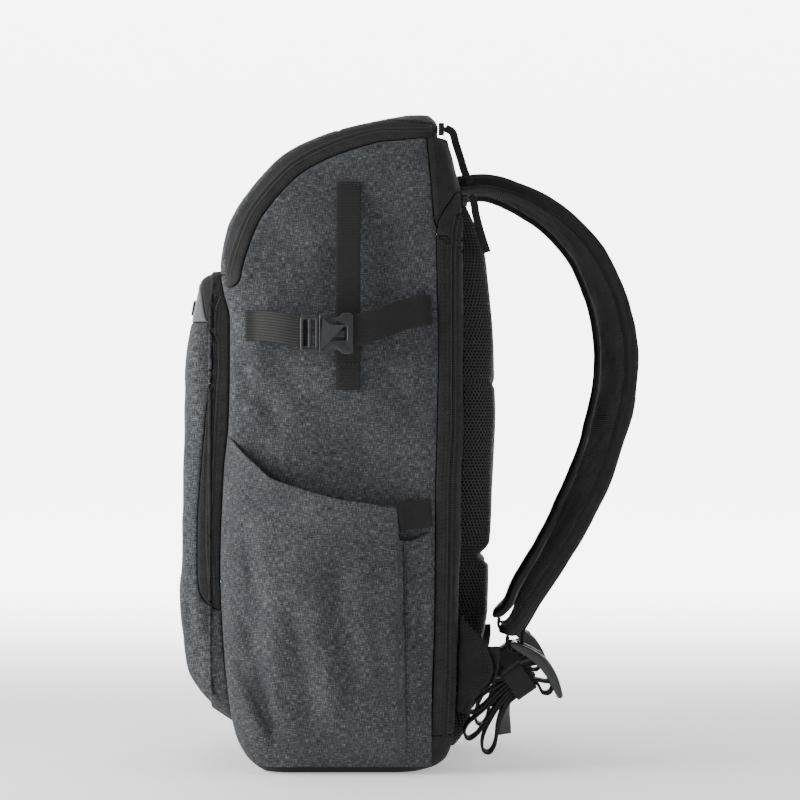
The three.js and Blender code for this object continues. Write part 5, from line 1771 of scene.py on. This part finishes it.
def wing_sheet():
    """A stiff triangle of cloth with a rounded, bound outer edge."""
    points, sections = [], []
    for share in np.linspace(0, 1, 44):
        z = WING["z"] + share * WING["height"]
        reach = max(float(WING_EDGE("reach", share)) * WING["reach"], WING["thick"] * 1.2)
        points.append((WING["x"], wing_root(z) + reach / 2, z))
        section = flat_section(reach, WING["thick"])
        pinch = 0.55 * MM * np.exp(-(((reach / 2 - section[:, 0] - 4.5 * MM) / (1.0 * MM)) ** 2))
        section[:, 1] -= np.sign(section[:, 1]) * pinch * (reach > 9 * MM)
        sections.append(section)
    return swept(np.array(points), (0, 1, 0), np.array(sections))


both_sides("harness_wing_cloth", wing_sheet(), SMOOTH_BLACK, "black_cloth", "harness_wing")

# %% [markdown]
# The tail is folded back and forth in eight layers. The folds at the free side are open loops of
# different lengths, and the last one ends in a hemmed end whose face turns to the side.

# %% Adjusting webbing
LAYERS = 8
PITCH = 2.2 * MM
KEEPER = 16 * MM
KEEPER_THICK = 1.5 * MM
layer_along = unit([0, 0.82, 0.572])
layer_across = unit([0, 0.572, -0.82])
keeper_middle = lock_bar + np.array([0, 2.8, -25.2]) * MM
TAIL_LOOPS = [
    [(-20.5, -6.2), (-28, -11.8), (-34.2, -17), (-35.2, -20.6), (-31.6, -22), (-25.6, -18), (-18.5, -11)],
    [
        (-17, -12.6), (-22.5, -18), (-29, -23.8), (-35.5, -29.5), (-38, -35.5), (-35.4, -40.3),
        (-30.4, -38), (-25, -31.5), (-20, -23.5), (-14.5, -15.2),
    ],
    [
        (-14.5, -18.5), (-19.5, -26.5), (-23.5, -34.5), (-25.6, -42.5), (-24.6, -48.6), (-20.8, -50),
        (-17.4, -46), (-15.6, -39), (-14.8, -31), (-12.5, -22), (-8.8, -14.2),
    ],
]
TAIL_END = [(-6.6, -15.5), (-8.8, -23), (-9.8, -30), (-10.2, -37.5)]
END_TURNS = (4, 12, 20, 24)
ROLL = {"a": 13, "b": 14.5, "radius": 4.4}


def in_keeper(a, b):
    return keeper_middle + (layer_along * a + layer_across * b) * MM


def layer_at(layer):
    return (layer - (LAYERS - 1) / 2) * PITCH / MM


def around(centre, radius, turns):
    """Places on a circle in the side view."""
    angles = [math.radians(turn) for turn in turns]
    return [centre + radius * np.array([0, math.cos(a), math.sin(a)]) for a in angles]


def adjuster_route():
    mouth = KEEPER / MM / 2 + 1
    path = [in_keeper(-mouth, layer_at(0)), in_keeper(mouth, layer_at(0))]
    path += around(lock_point(LOCK_SHARES[1]), LOCK_BAR / 2 + 1.3 * MM, (205, 150, 95, 40, -15, -60))
    path += [in_keeper(mouth + 1.5, layer_at(1)), in_keeper(-mouth, layer_at(1))]
    for i, loop in enumerate(TAIL_LOOPS):
        path += [keeper_middle + np.array([0, y, z]) * MM for y, z in loop]
        back, after = layer_at(2 + 2 * i), layer_at(3 + 2 * i)
        path += [in_keeper(-mouth, back), in_keeper(mouth, back)]
        if i < len(TAIL_LOOPS) - 1:
            path.append(in_keeper(mouth + 2.4, (back + after) / 2))
        else:
            for turn in (-75, -20, 40, 100, 160, 215):
                a = ROLL["a"] + ROLL["radius"] * math.cos(math.radians(turn))
                b = ROLL["b"] + ROLL["radius"] * math.sin(math.radians(turn))
                path.append(in_keeper(a, b))
            path.append(in_keeper(mouth + 0.4, after + 1))
        path += [in_keeper(mouth - 1, after), in_keeper(-mouth, after)]
    return path


def adjuster():
    mouth = KEEPER / MM / 2 + 1
    inside = WING["x"] - WING["thick"] / 2 - WEB_THICK
    start = np.array([inside, wing_root(WING["z"]) + 19 * MM, WING["z"] + 45 * MM])
    above = in_keeper(-mouth - 5, layer_at(0) - 6)
    rows = []
    for t in (0, 0.4, 0.8, 1):
        rows.append((start + (above - start) * t, np.array([0.5 + 0.5 * t, 0.55 * (1 - t), 0.45 * (1 - t)])))
    rows.append((in_keeper(-mouth - 3.5, layer_at(0) - 2), ACROSS))
    rows += [(p, ACROSS) for p in adjuster_route()]
    for i, (y, z) in enumerate(TAIL_END):
        turn = math.radians(END_TURNS[i])
        across = np.array([math.cos(turn), -math.sin(turn), 0])
        rows.append((keeper_middle + np.array([0, y, z]) * MM, across))
    return ribbon(rows, ADJUST_WEB - 1 * MM, 1.9 * MM, 1.0 * MM)


both_sides("adjuster_webbing_ribbon", adjuster(), WEBBING, "webbing", "adjuster_webbing")

# %% Keeper
def keeper():
    """An elastic band round the layers: a strip swept round a box with round corners."""
    wide = ADJUST_WEB + 2 * GAP + KEEPER_THICK
    deep = LAYERS * PITCH + 0.4 * MM + KEEPER_THICK
    ring = soft_box(wide, deep, 2.2 * MM, 5)[:-1]
    loop = np.concatenate([ring, ring[:3]])
    points = keeper_middle + loop[:, :1] * ACROSS + loop[:, 1:] * -layer_across
    return swept(points, layer_along, flat_section(KEEPER, KEEPER_THICK), ends=False)


both_sides("webbing_keeper_elastic", flip(keeper()), ELASTIC, "webbing", "webbing_keeper")

# %% [markdown]
# ## Buckle, sliders and badge
# These are hard mouldings with small radii. Each is an outline that Blender extrudes and bevels as a
# filled curve, so that its slots keep their own rounded rims.

# %% Mouldings
CORNER_STEPS = 3


def moulding(outlines, thick, bevel, frame_at):
    """A closed sheet: outlines in the plane of frame_at's first two axes, thick along its third."""
    data = bpy.data.curves.new("moulding", "CURVE")
    data.dimensions = "2D"
    data.fill_mode = "BOTH"
    data.extrude = thick / 2 - bevel
    data.bevel_depth = bevel
    data.bevel_resolution = 3
    data.offset = -bevel
    for points in outlines:
        spline = data.splines.new("POLY")
        spline.points.add(len(points) - 1)
        for point, (a, b) in zip(spline.points, points):
            point.co = (a, b, 0, 1)
        spline.use_cyclic_u = True
    shape = new_object("moulding", data)
    mesh = plain_mesh(shape)
    bpy.data.objects.remove(shape)
    mesh.calc_loop_triangles()
    co = np.zeros(len(mesh.vertices) * 3)
    mesh.vertices.foreach_get("co", co)
    tri = np.zeros(len(mesh.loop_triangles) * 3, int)
    mesh.loop_triangles.foreach_get("vertices", tri)
    co, tri = co.reshape(-1, 3), tri.reshape(-1, 3)
    origin, u, v, w = (np.asarray(x, float) for x in frame_at)
    placed = origin + co[:, :1] * u + co[:, 1:2] * v + co[:, 2:] * w
    corners = placed[tri]
    volume = np.einsum("ij,ij->", corners[:, 0], np.cross(corners[:, 1], corners[:, 2]))
    sheet = {"co": placed, "tri": tri, "uv": co[:, :2], "weld": True}
    bpy.data.meshes.remove(mesh)
    return sheet if volume > 0 else flip(sheet)


def rounded_outline(points, radius):
    """An outline with its corners cut to small arcs."""
    p = np.array(points, float)
    made = []
    for i in range(len(p)):
        before, here, after = p[i - 1], p[i], p[(i + 1) % len(p)]
        a, b = before - here, after - here
        reach = min(radius, 0.45 * np.linalg.norm(a), 0.45 * np.linalg.norm(b))
        first, last = here + unit(a) * reach, here + unit(b) * reach
        for k in range(CORNER_STEPS + 1):
            t = k / CORNER_STEPS
            made.append((1 - t) ** 2 * first + 2 * t * (1 - t) * here + t**2 * last)
    return [tuple(q) for q in made]


def rectangle(y0, z0, y1, z1):
    return [(y0, z0), (y1, z0), (y1, z1), (y0, z1)]


print("a rounded rectangle has", len(rounded_outline(rectangle(0, 0, 2, 1), 0.1)), "points")

# %% Side buckle
BUCKLE_SIZE = np.array([BUCKLE["length"], BUCKLE["width"]])
BUCKLE_WALL = 7.6 * MM
# outlines in shares of the buckle's length and width
MALE_EDGE = [
    (-0.5, -0.36), (-0.47, -0.43), (-0.19, -0.46), (-0.155, -0.4), (-0.155, 0.4), (-0.19, 0.46),
    (-0.47, 0.43), (-0.5, 0.36),
]
MALE_SLOTS = [(-0.44, -0.34, -0.35, 0.34), (-0.29, -0.34, -0.215, 0.34)]
FEMALE_UPPER = [
    (0.5, 0.46), (0.44, 0.5), (0.3, 0.5), (0.24, 0.42), (0.13, 0.36), (0.05, 0.42), (-0.02, 0.5),
    (-0.145, 0.47),
]
FEMALE_HOLE = [(0.06, -0.17), (0.38, -0.17), (0.38, 0.17), (0.06, 0.17), (-0.1, 0.36), (-0.1, -0.36)]
TONGUE = [(-0.12, -0.3), (0.03, -0.1), (0.35, -0.1), (0.35, 0.1), (0.03, 0.1), (-0.12, 0.3)]
buckle_x = float(side_x(BUCKLE_Y, BUCKLE_Z)) + GAP + WEB_THICK / 2 + SIDE_STAND
buckle_frame = ((buckle_x, BUCKLE_Y, BUCKLE_Z), (0, 1, 0), (0, 0, 1), (1, 0, 0))


def scaled(points, radius):
    return rounded_outline([tuple(np.array(p) * BUCKLE_SIZE) for p in points], radius)


male = [scaled(MALE_EDGE, 1.2 * MM)] + [scaled(rectangle(*place), 0.8 * MM) for place in MALE_SLOTS]
male = moulding(male, BUCKLE_WALL, 0.9 * MM, buckle_frame)
make("buckle_male_moulding", male, [PLASTIC], "moulded_plastic", ["buckle_male"])
lower = [(a, -b) for a, b in FEMALE_UPPER][::-1]
female = [scaled(lower + FEMALE_UPPER, 1.2 * MM), scaled(FEMALE_HOLE, 0.8 * MM)]
female = moulding(female, BUCKLE_WALL, 1.0 * MM, buckle_frame)
tongue = moulding([scaled(TONGUE, 0.9 * MM)], 4.6 * MM, 0.7 * MM, buckle_frame)
make("buckle_female_moulding", joined(female, tongue), [PLASTIC], "moulded_plastic", ["buckle_female"])

# %% Badge
BADGE = {"length": 46 * MM, "height": 11 * MM, "thick": 2 * MM}
badge_low = pocket_section(pocket_z(PATCH_SEAM + 0.02))[0]
badge_high = pocket_section(pocket_z(PATCH_SEAM + 0.055))[0]
up = unit([0, badge_high - badge_low, 0.035 * POCKET_HEIGHT])
badge_y = (badge_low + badge_high) / 2 - 2 * GAP - BADGE["thick"] / 2
badge_place = np.array([0, badge_y, pocket_z(PATCH_SEAM + 0.0375)])
half_length, half_height = BADGE["length"] / 2, BADGE["height"] / 2
badge_outline = rounded_outline(rectangle(-half_length, -half_height, half_length, half_height), 3 * MM)
badge = moulding([badge_outline], BADGE["thick"], 0.6 * MM, (badge_place, ACROSS, up, np.cross(ACROSS, up)))
make("front_badge_plate", badge, [PLASTIC], "moulded_plastic", ["front_badge"])

# %% Sliders and pulls
SLIDER = {"length": 11 * MM, "width": 9 * MM, "thick": 4 * MM}
PULL_WEB = 5.5 * MM
FLAP_SLIDER, DOOR_SLIDER = (0.56, 0.977), (0.693, 0.866)
FLAP_PULL = [
    (0.58, 0.424, 0.978), (0.59, 0.452, 0.972), (0.593, 0.466, 0.955), (0.587, 0.488, 0.93),
    (0.58, 0.505, 0.91), (0.577, 0.522, 0.897),
]
DOOR_PULL = [
    (0.693, 0.525, 0.872), (0.7, 0.537, 0.866), (0.7, 0.55, 0.842), (0.7, 0.572, 0.812),
    (0.693, 0.592, 0.79),
]
# the slider's waisted edge and its bridge, in shares of its half sizes and its thickness
SLIDER_EDGE = [(-1, -1), (-0.2, -0.7), (1, -1), (1, 1), (-0.2, 0.7), (-1, 1)]
BRIDGE = [(-0.7, 0.35), (-0.65, 0.75), (-0.3, 1.05), (0.3, 1.05), (0.65, 0.75), (0.7, 0.35)]


def slider(x, z):
    """A waisted body with a bridge over it that the pull hangs on."""
    z = z * HEIGHT
    y = float(body_at(z)[1]) + GAP + SLIDER["thick"] / 2
    place = np.array([x * WIDTH / 2, y, z])
    a, b = SLIDER["length"] / 2, SLIDER["width"] / 2
    edge = rounded_outline([(p * a, q * b) for p, q in SLIDER_EDGE], 1.5 * MM)
    body = moulding([edge], SLIDER["thick"], 0.6 * MM, (place, (1, 0, 0), (0, 0, 1), (0, 1, 0)))
    bridge = course([place + np.array([p * a, q * SLIDER["thick"], 0]) for p, q in BRIDGE], 0.5 * MM)
    return joined(body, swept(bridge, (0, 0, 1), soft_box(2.6 * MM, 1.1 * MM, 0.5 * MM, 3)))


def pull(rows):
    """Doubled tape: it goes down, turns and comes back against itself."""
    places = [np.array([x * WIDTH / 2, y * DEPTH, z * HEIGHT]) for x, y, z in rows]
    line = course(places, 1.0 * MM)
    _, _, facing = frames(line, ACROSS)
    apart = 0.75 * MM * ACROSS
    tip = line[-1] + unit(line[-1] - line[-2]) * 1.2 * MM
    route = np.concatenate([line + apart, [tip], (line - apart)[::-1]])
    across = np.concatenate([facing, facing[-1:], facing[::-1]])
    return swept(route, across, flat_section(PULL_WEB, 1.3 * MM))


make("flap_slider_body", slider(*FLAP_SLIDER), [METAL], "slider_metal", ["flap_slider"])
make("door_slider_body", slider(*DOOR_SLIDER), [METAL], "slider_metal", ["door_slider"])
make("flap_pull_tape", pull(FLAP_PULL), [WEBBING], "webbing", ["flap_pull"])
make("door_pull_tape", pull(DOOR_PULL), [WEBBING], "webbing", ["door_pull"])

# %% [markdown]
# ## Zips and seams
# The zips are coils: two columns of fine ribs about a dark strip of painted shade in the gap between
# them. They run round the lid, down the rear gusset and down both sides of the front pocket. Rows of
# stitches hold every edge, and they're raised a little from the cloth, as thread is. Both are laid
# along lines on the surfaces that the panels were cut from, so they follow each seam.

# %% Lines on the surfaces
def flank_normal(x_at, y, z):
    """A right flank's normal, from small steps along its surface x_at(y, z)."""
    d = 1 * MM
    dy = (x_at(y + d, z) - x_at(y - d, z)) / (2 * d)
    dz = (x_at(y, z + d) - x_at(y, z - d)) / (2 * d)
    return unit(np.stack([np.ones_like(dy), -dy, -dz], -1))


def on_flank(x_at, line, lift):
    """Places and normals on a right flank along a line in the side view."""
    y, z = np.asarray(line, float).T
    normal = flank_normal(x_at, y, z)
    return np.stack([x_at(y, z), y, z], -1) + normal * lift, normal


def on_bag(line, lift):
    return on_flank(side_x, line, lift)


def pocket_x(y, z):
    front, half = pocket_section(z)
    past = np.maximum(front + POCKET_CORNER - y, 0)
    return half - POCKET_CORNER + np.sqrt(np.maximum(POCKET_CORNER**2 - past**2, 0))


def on_pocket(line, lift):
    return on_flank(pocket_x, line, lift)


def beside(line, off):
    """A line in the side view moved off to its left."""
    run = unit(np.gradient(line, axis=0))
    return line + np.stack([-run[:, 1], run[:, 0]], 1) * off


POCKET_ZIP_LINE = [
    (-88, 0.331), (-91, 0.321), (-91.5, 0.306), (-88.8, 0.297), (-88.5, 0.28), (-89.2, 0.271),
    (-92.7, 0.2), (-93.4, 0.165), (-91.3, 0.124),
]
front_zip = rounded([(y * MM, z) for y, z in POCKET_ZIP_LINE], 1.5 * MM)
lid_zip = lid_line[lid_line[:, 0] < 0.37 * DEPTH]
rear_zip = door_line[door_line[:, 0] < 0.468 * DEPTH]


def zip_paths(lift):
    """Places and normals of the lid's, the rear's and the front pocket's zip."""
    return [on_bag(lid_zip, lift), on_bag(rear_zip, lift), on_pocket(front_zip, lift)]


print("zips, mm:", [round(float(lengths_along(places)[-1]) / MM) for places, _ in zip_paths(0)])

# %% Coils
RIB = (0.72 * MM, 2.3 * MM, 0.9 * MM)
PITCH_OF_RIBS = 1.18 * MM
COIL_OFF = 1.75 * MM
for label, shift in (("outer", COIL_OFF), ("inner", -COIL_OFF)):
    paths = mirrored_paths(zip_paths(0.05 * MM))
    bars(f"zip_coil_{label}", paths, COIL, "zip_tape", PITCH_OF_RIBS, RIB, shift=shift)
# a dark strip under the gap between the two coil rows, as painted shade
gap_shade_strips = []
for places, facing in zip_paths(-0.1 * MM):
    across = np.cross(np.gradient(places, axis=0), facing)
    gap_shade_strips.append(swept(places, across, flat_section(1.1 * MM, 0.9 * MM, corners=3)))
for label, side in SIDES:
    make(f"zip_shade_strip_{label}", mirror(joined(*gap_shade_strips), side), [ZIP_GAP_SHADE], "zip_tape")

# %% [markdown]
# Each row of stitches has its own distance from a line: 4 to 6 mm from a zip, 3 mm from a panel's
# seam and a wide hem on the side pockets. The thread is a little lighter than the black cloth.

# %% Rows of stitches
GREY_THREAD = (2.3 * MM, 0.5 * MM, 0.45 * MM)
BLACK_THREAD = (2.1 * MM, 0.45 * MM, 0.4 * MM)
THREAD_LIFT = 0.15 * MM
SEAM_LIFT = 0.1 * MM


def over_pocket(y, up):
    """Places and normals on the right side pocket's cloth."""
    y, up = np.broadcast_arrays(np.asarray(y, float), np.asarray(up, float))

    def place(y, up):
        return pocket_surface(y[None], up[None])[0]

    here = place(y, up)
    here[:, 0] += hem_press(y, up)
    d = 0.004
    a = place(np.clip(y + d, FRONT_ROW, REAR_ROW), up) - place(y - d, up)
    b = place(y, np.clip(up + d, 0, 1)) - place(y, np.clip(up - d, 0, 1))
    normal = np.cross(a, b)
    normal /= np.maximum(np.linalg.norm(normal, axis=1, keepdims=True), 1e-9)
    return here + normal * THREAD_LIFT, normal


def hem_row(first, last, below):
    y = np.linspace(first, last, 90)
    return over_pocket(y, 1 - below / (HEIGHT * pocket_tall(y)))


def up_at(y, z):
    """How far from the foot to the rim a height lies."""
    return (z - RIM("foot", y)) / pocket_tall(y)


pleat_y = np.linspace(PLEAT[0], PLEAT[2], 60)
pleat_z = np.linspace(PLEAT[1], PLEAT[3] + 0.02, 60)
dart_y, dart_z = np.linspace(-0.27, -0.31, 30), np.linspace(0.09, 0.03, 30)
grey_rows = [
    hem_row(-0.4, 0.205, HEM),
    hem_row(-0.4, 0.205, 3.5 * MM),
    hem_row(0.25, 0.34, 8 * MM),
    over_pocket(pleat_y + 0.012, up_at(pleat_y, pleat_z)),
    over_pocket(dart_y, up_at(dart_y, dart_z)),
]
yoke_front = rounded(shares(YOKE_FRONT))
yoke_below = rounded(shares(YOKE_BELOW)[:-1])
BAG_ROWS = [
    # line, distance to its left in millimetres, points left out at its start
    (lid_zip, 6.2, 0), (lid_zip, -6.0, 0), (yoke_front, 3.4, 0), (yoke_below, 3.4, 0),
    (gusset_line[3:], 3.2, 0), (rear_zip, 4.6, 4), (rear_zip, -4.2, 4),
]
black_rows = [on_bag(beside(line, off * MM)[skip:], SEAM_LIFT) for line, off, skip in BAG_ROWS]
black_rows += [on_pocket(beside(front_zip, off * MM), SEAM_LIFT) for off in (4.6, -4.6)]
for name, rows, finish, slot, pitch, thread_size, seed in (
    ("stitches_grey", grey_rows, STITCH, "heather_cloth", 3.2 * MM, GREY_THREAD, 3),
    ("stitches_black", black_rows, DARK_STITCH, "black_cloth", 3.0 * MM, BLACK_THREAD, 4),
):
    bars(name, mirrored_paths(rows), finish, slot, pitch, thread_size, ragged=0.08, seed=seed)

# %% Stitches in the webbing and the straps
WEB_THREAD = (2.0 * MM, 0.45 * MM, 0.4 * MM)
BOX_INSET = 2.2 * MM
SEWN_BOXES = [
    # y, z, width and length of a box that holds the handle
    (HANDLE_Y * DEPTH, 0.8815 * HEIGHT, HANDLE_WEB, 10 * MM),
    (HANDLE_Y * DEPTH, 0.598 * HEIGHT, HANDLE_WEB, 20 * MM),
]


def box_stitch(y, z, width, length):
    """A sewn rectangle with a cross, as webbing is held at its ends."""
    a, b = width / 2 - BOX_INSET, length / 2 - BOX_INSET
    x = float(side_x(y, z)) + 2.55 * MM
    corners = [(-a, -b), (a, -b), (a, b), (-a, b), (-a, -b), (a, b)]
    points = np.array([(x, y + p, z + q) for p, q in corners])
    lines = [np.linspace(points[i], points[i + 1], 12)[:-1] for i in range(5)]
    fine = np.concatenate(lines + [points[-1:]])
    return fine, np.broadcast_to(flank_normal(side_x, y, z), fine.shape).copy()


webbing_rows = [box_stitch(*box) for box in SEWN_BOXES]
strap_rows_sewn = []
shown = slice(2, int(0.42 * len(strap_points)))
outer_line = strap_points + strap_face * (STRAP_THICK / 2 - 1.0 * MM)
for share in (-0.2, 0.2):
    aside = outer_line + strap_across * (strap_line[:, 4:5] * share)
    strap_rows_sewn.append((aside[shown], strap_face[shown]))
inner_line = strap_points - strap_face * (STRAP_THICK / 2 - 1.4 * MM)
for sign in (-1, 1):
    aside = inner_line + strap_across * (strap_line[:, 4:5] / 2 - BINDING) * sign
    strap_rows_sewn.append((aside[3:-3], -strap_face[3:-3]))
wing_rows = []
wing_x = WING["x"] + WING["thick"] / 2 + 0.05 * MM
for inset in (3.2 * MM, 5.2 * MM):
    places = []
    for share in np.linspace(0.12, 0.9, 40):
        z = WING["z"] + share * WING["height"]
        reach = float(WING_EDGE("reach", share)) * WING["reach"]
        places.append((wing_x, wing_root(z) + max(reach - inset, 1 * MM), z))
    wing_rows.append((np.array(places), np.broadcast_to(ACROSS, (40, 3)).copy()))
sewn = mirrored_paths(strap_rows_sewn + wing_rows) + webbing_rows
bars("stitches_webbing", sewn, DARK_STITCH, "webbing", 2.8 * MM, WEB_THREAD, ragged=0.1, seed=5)
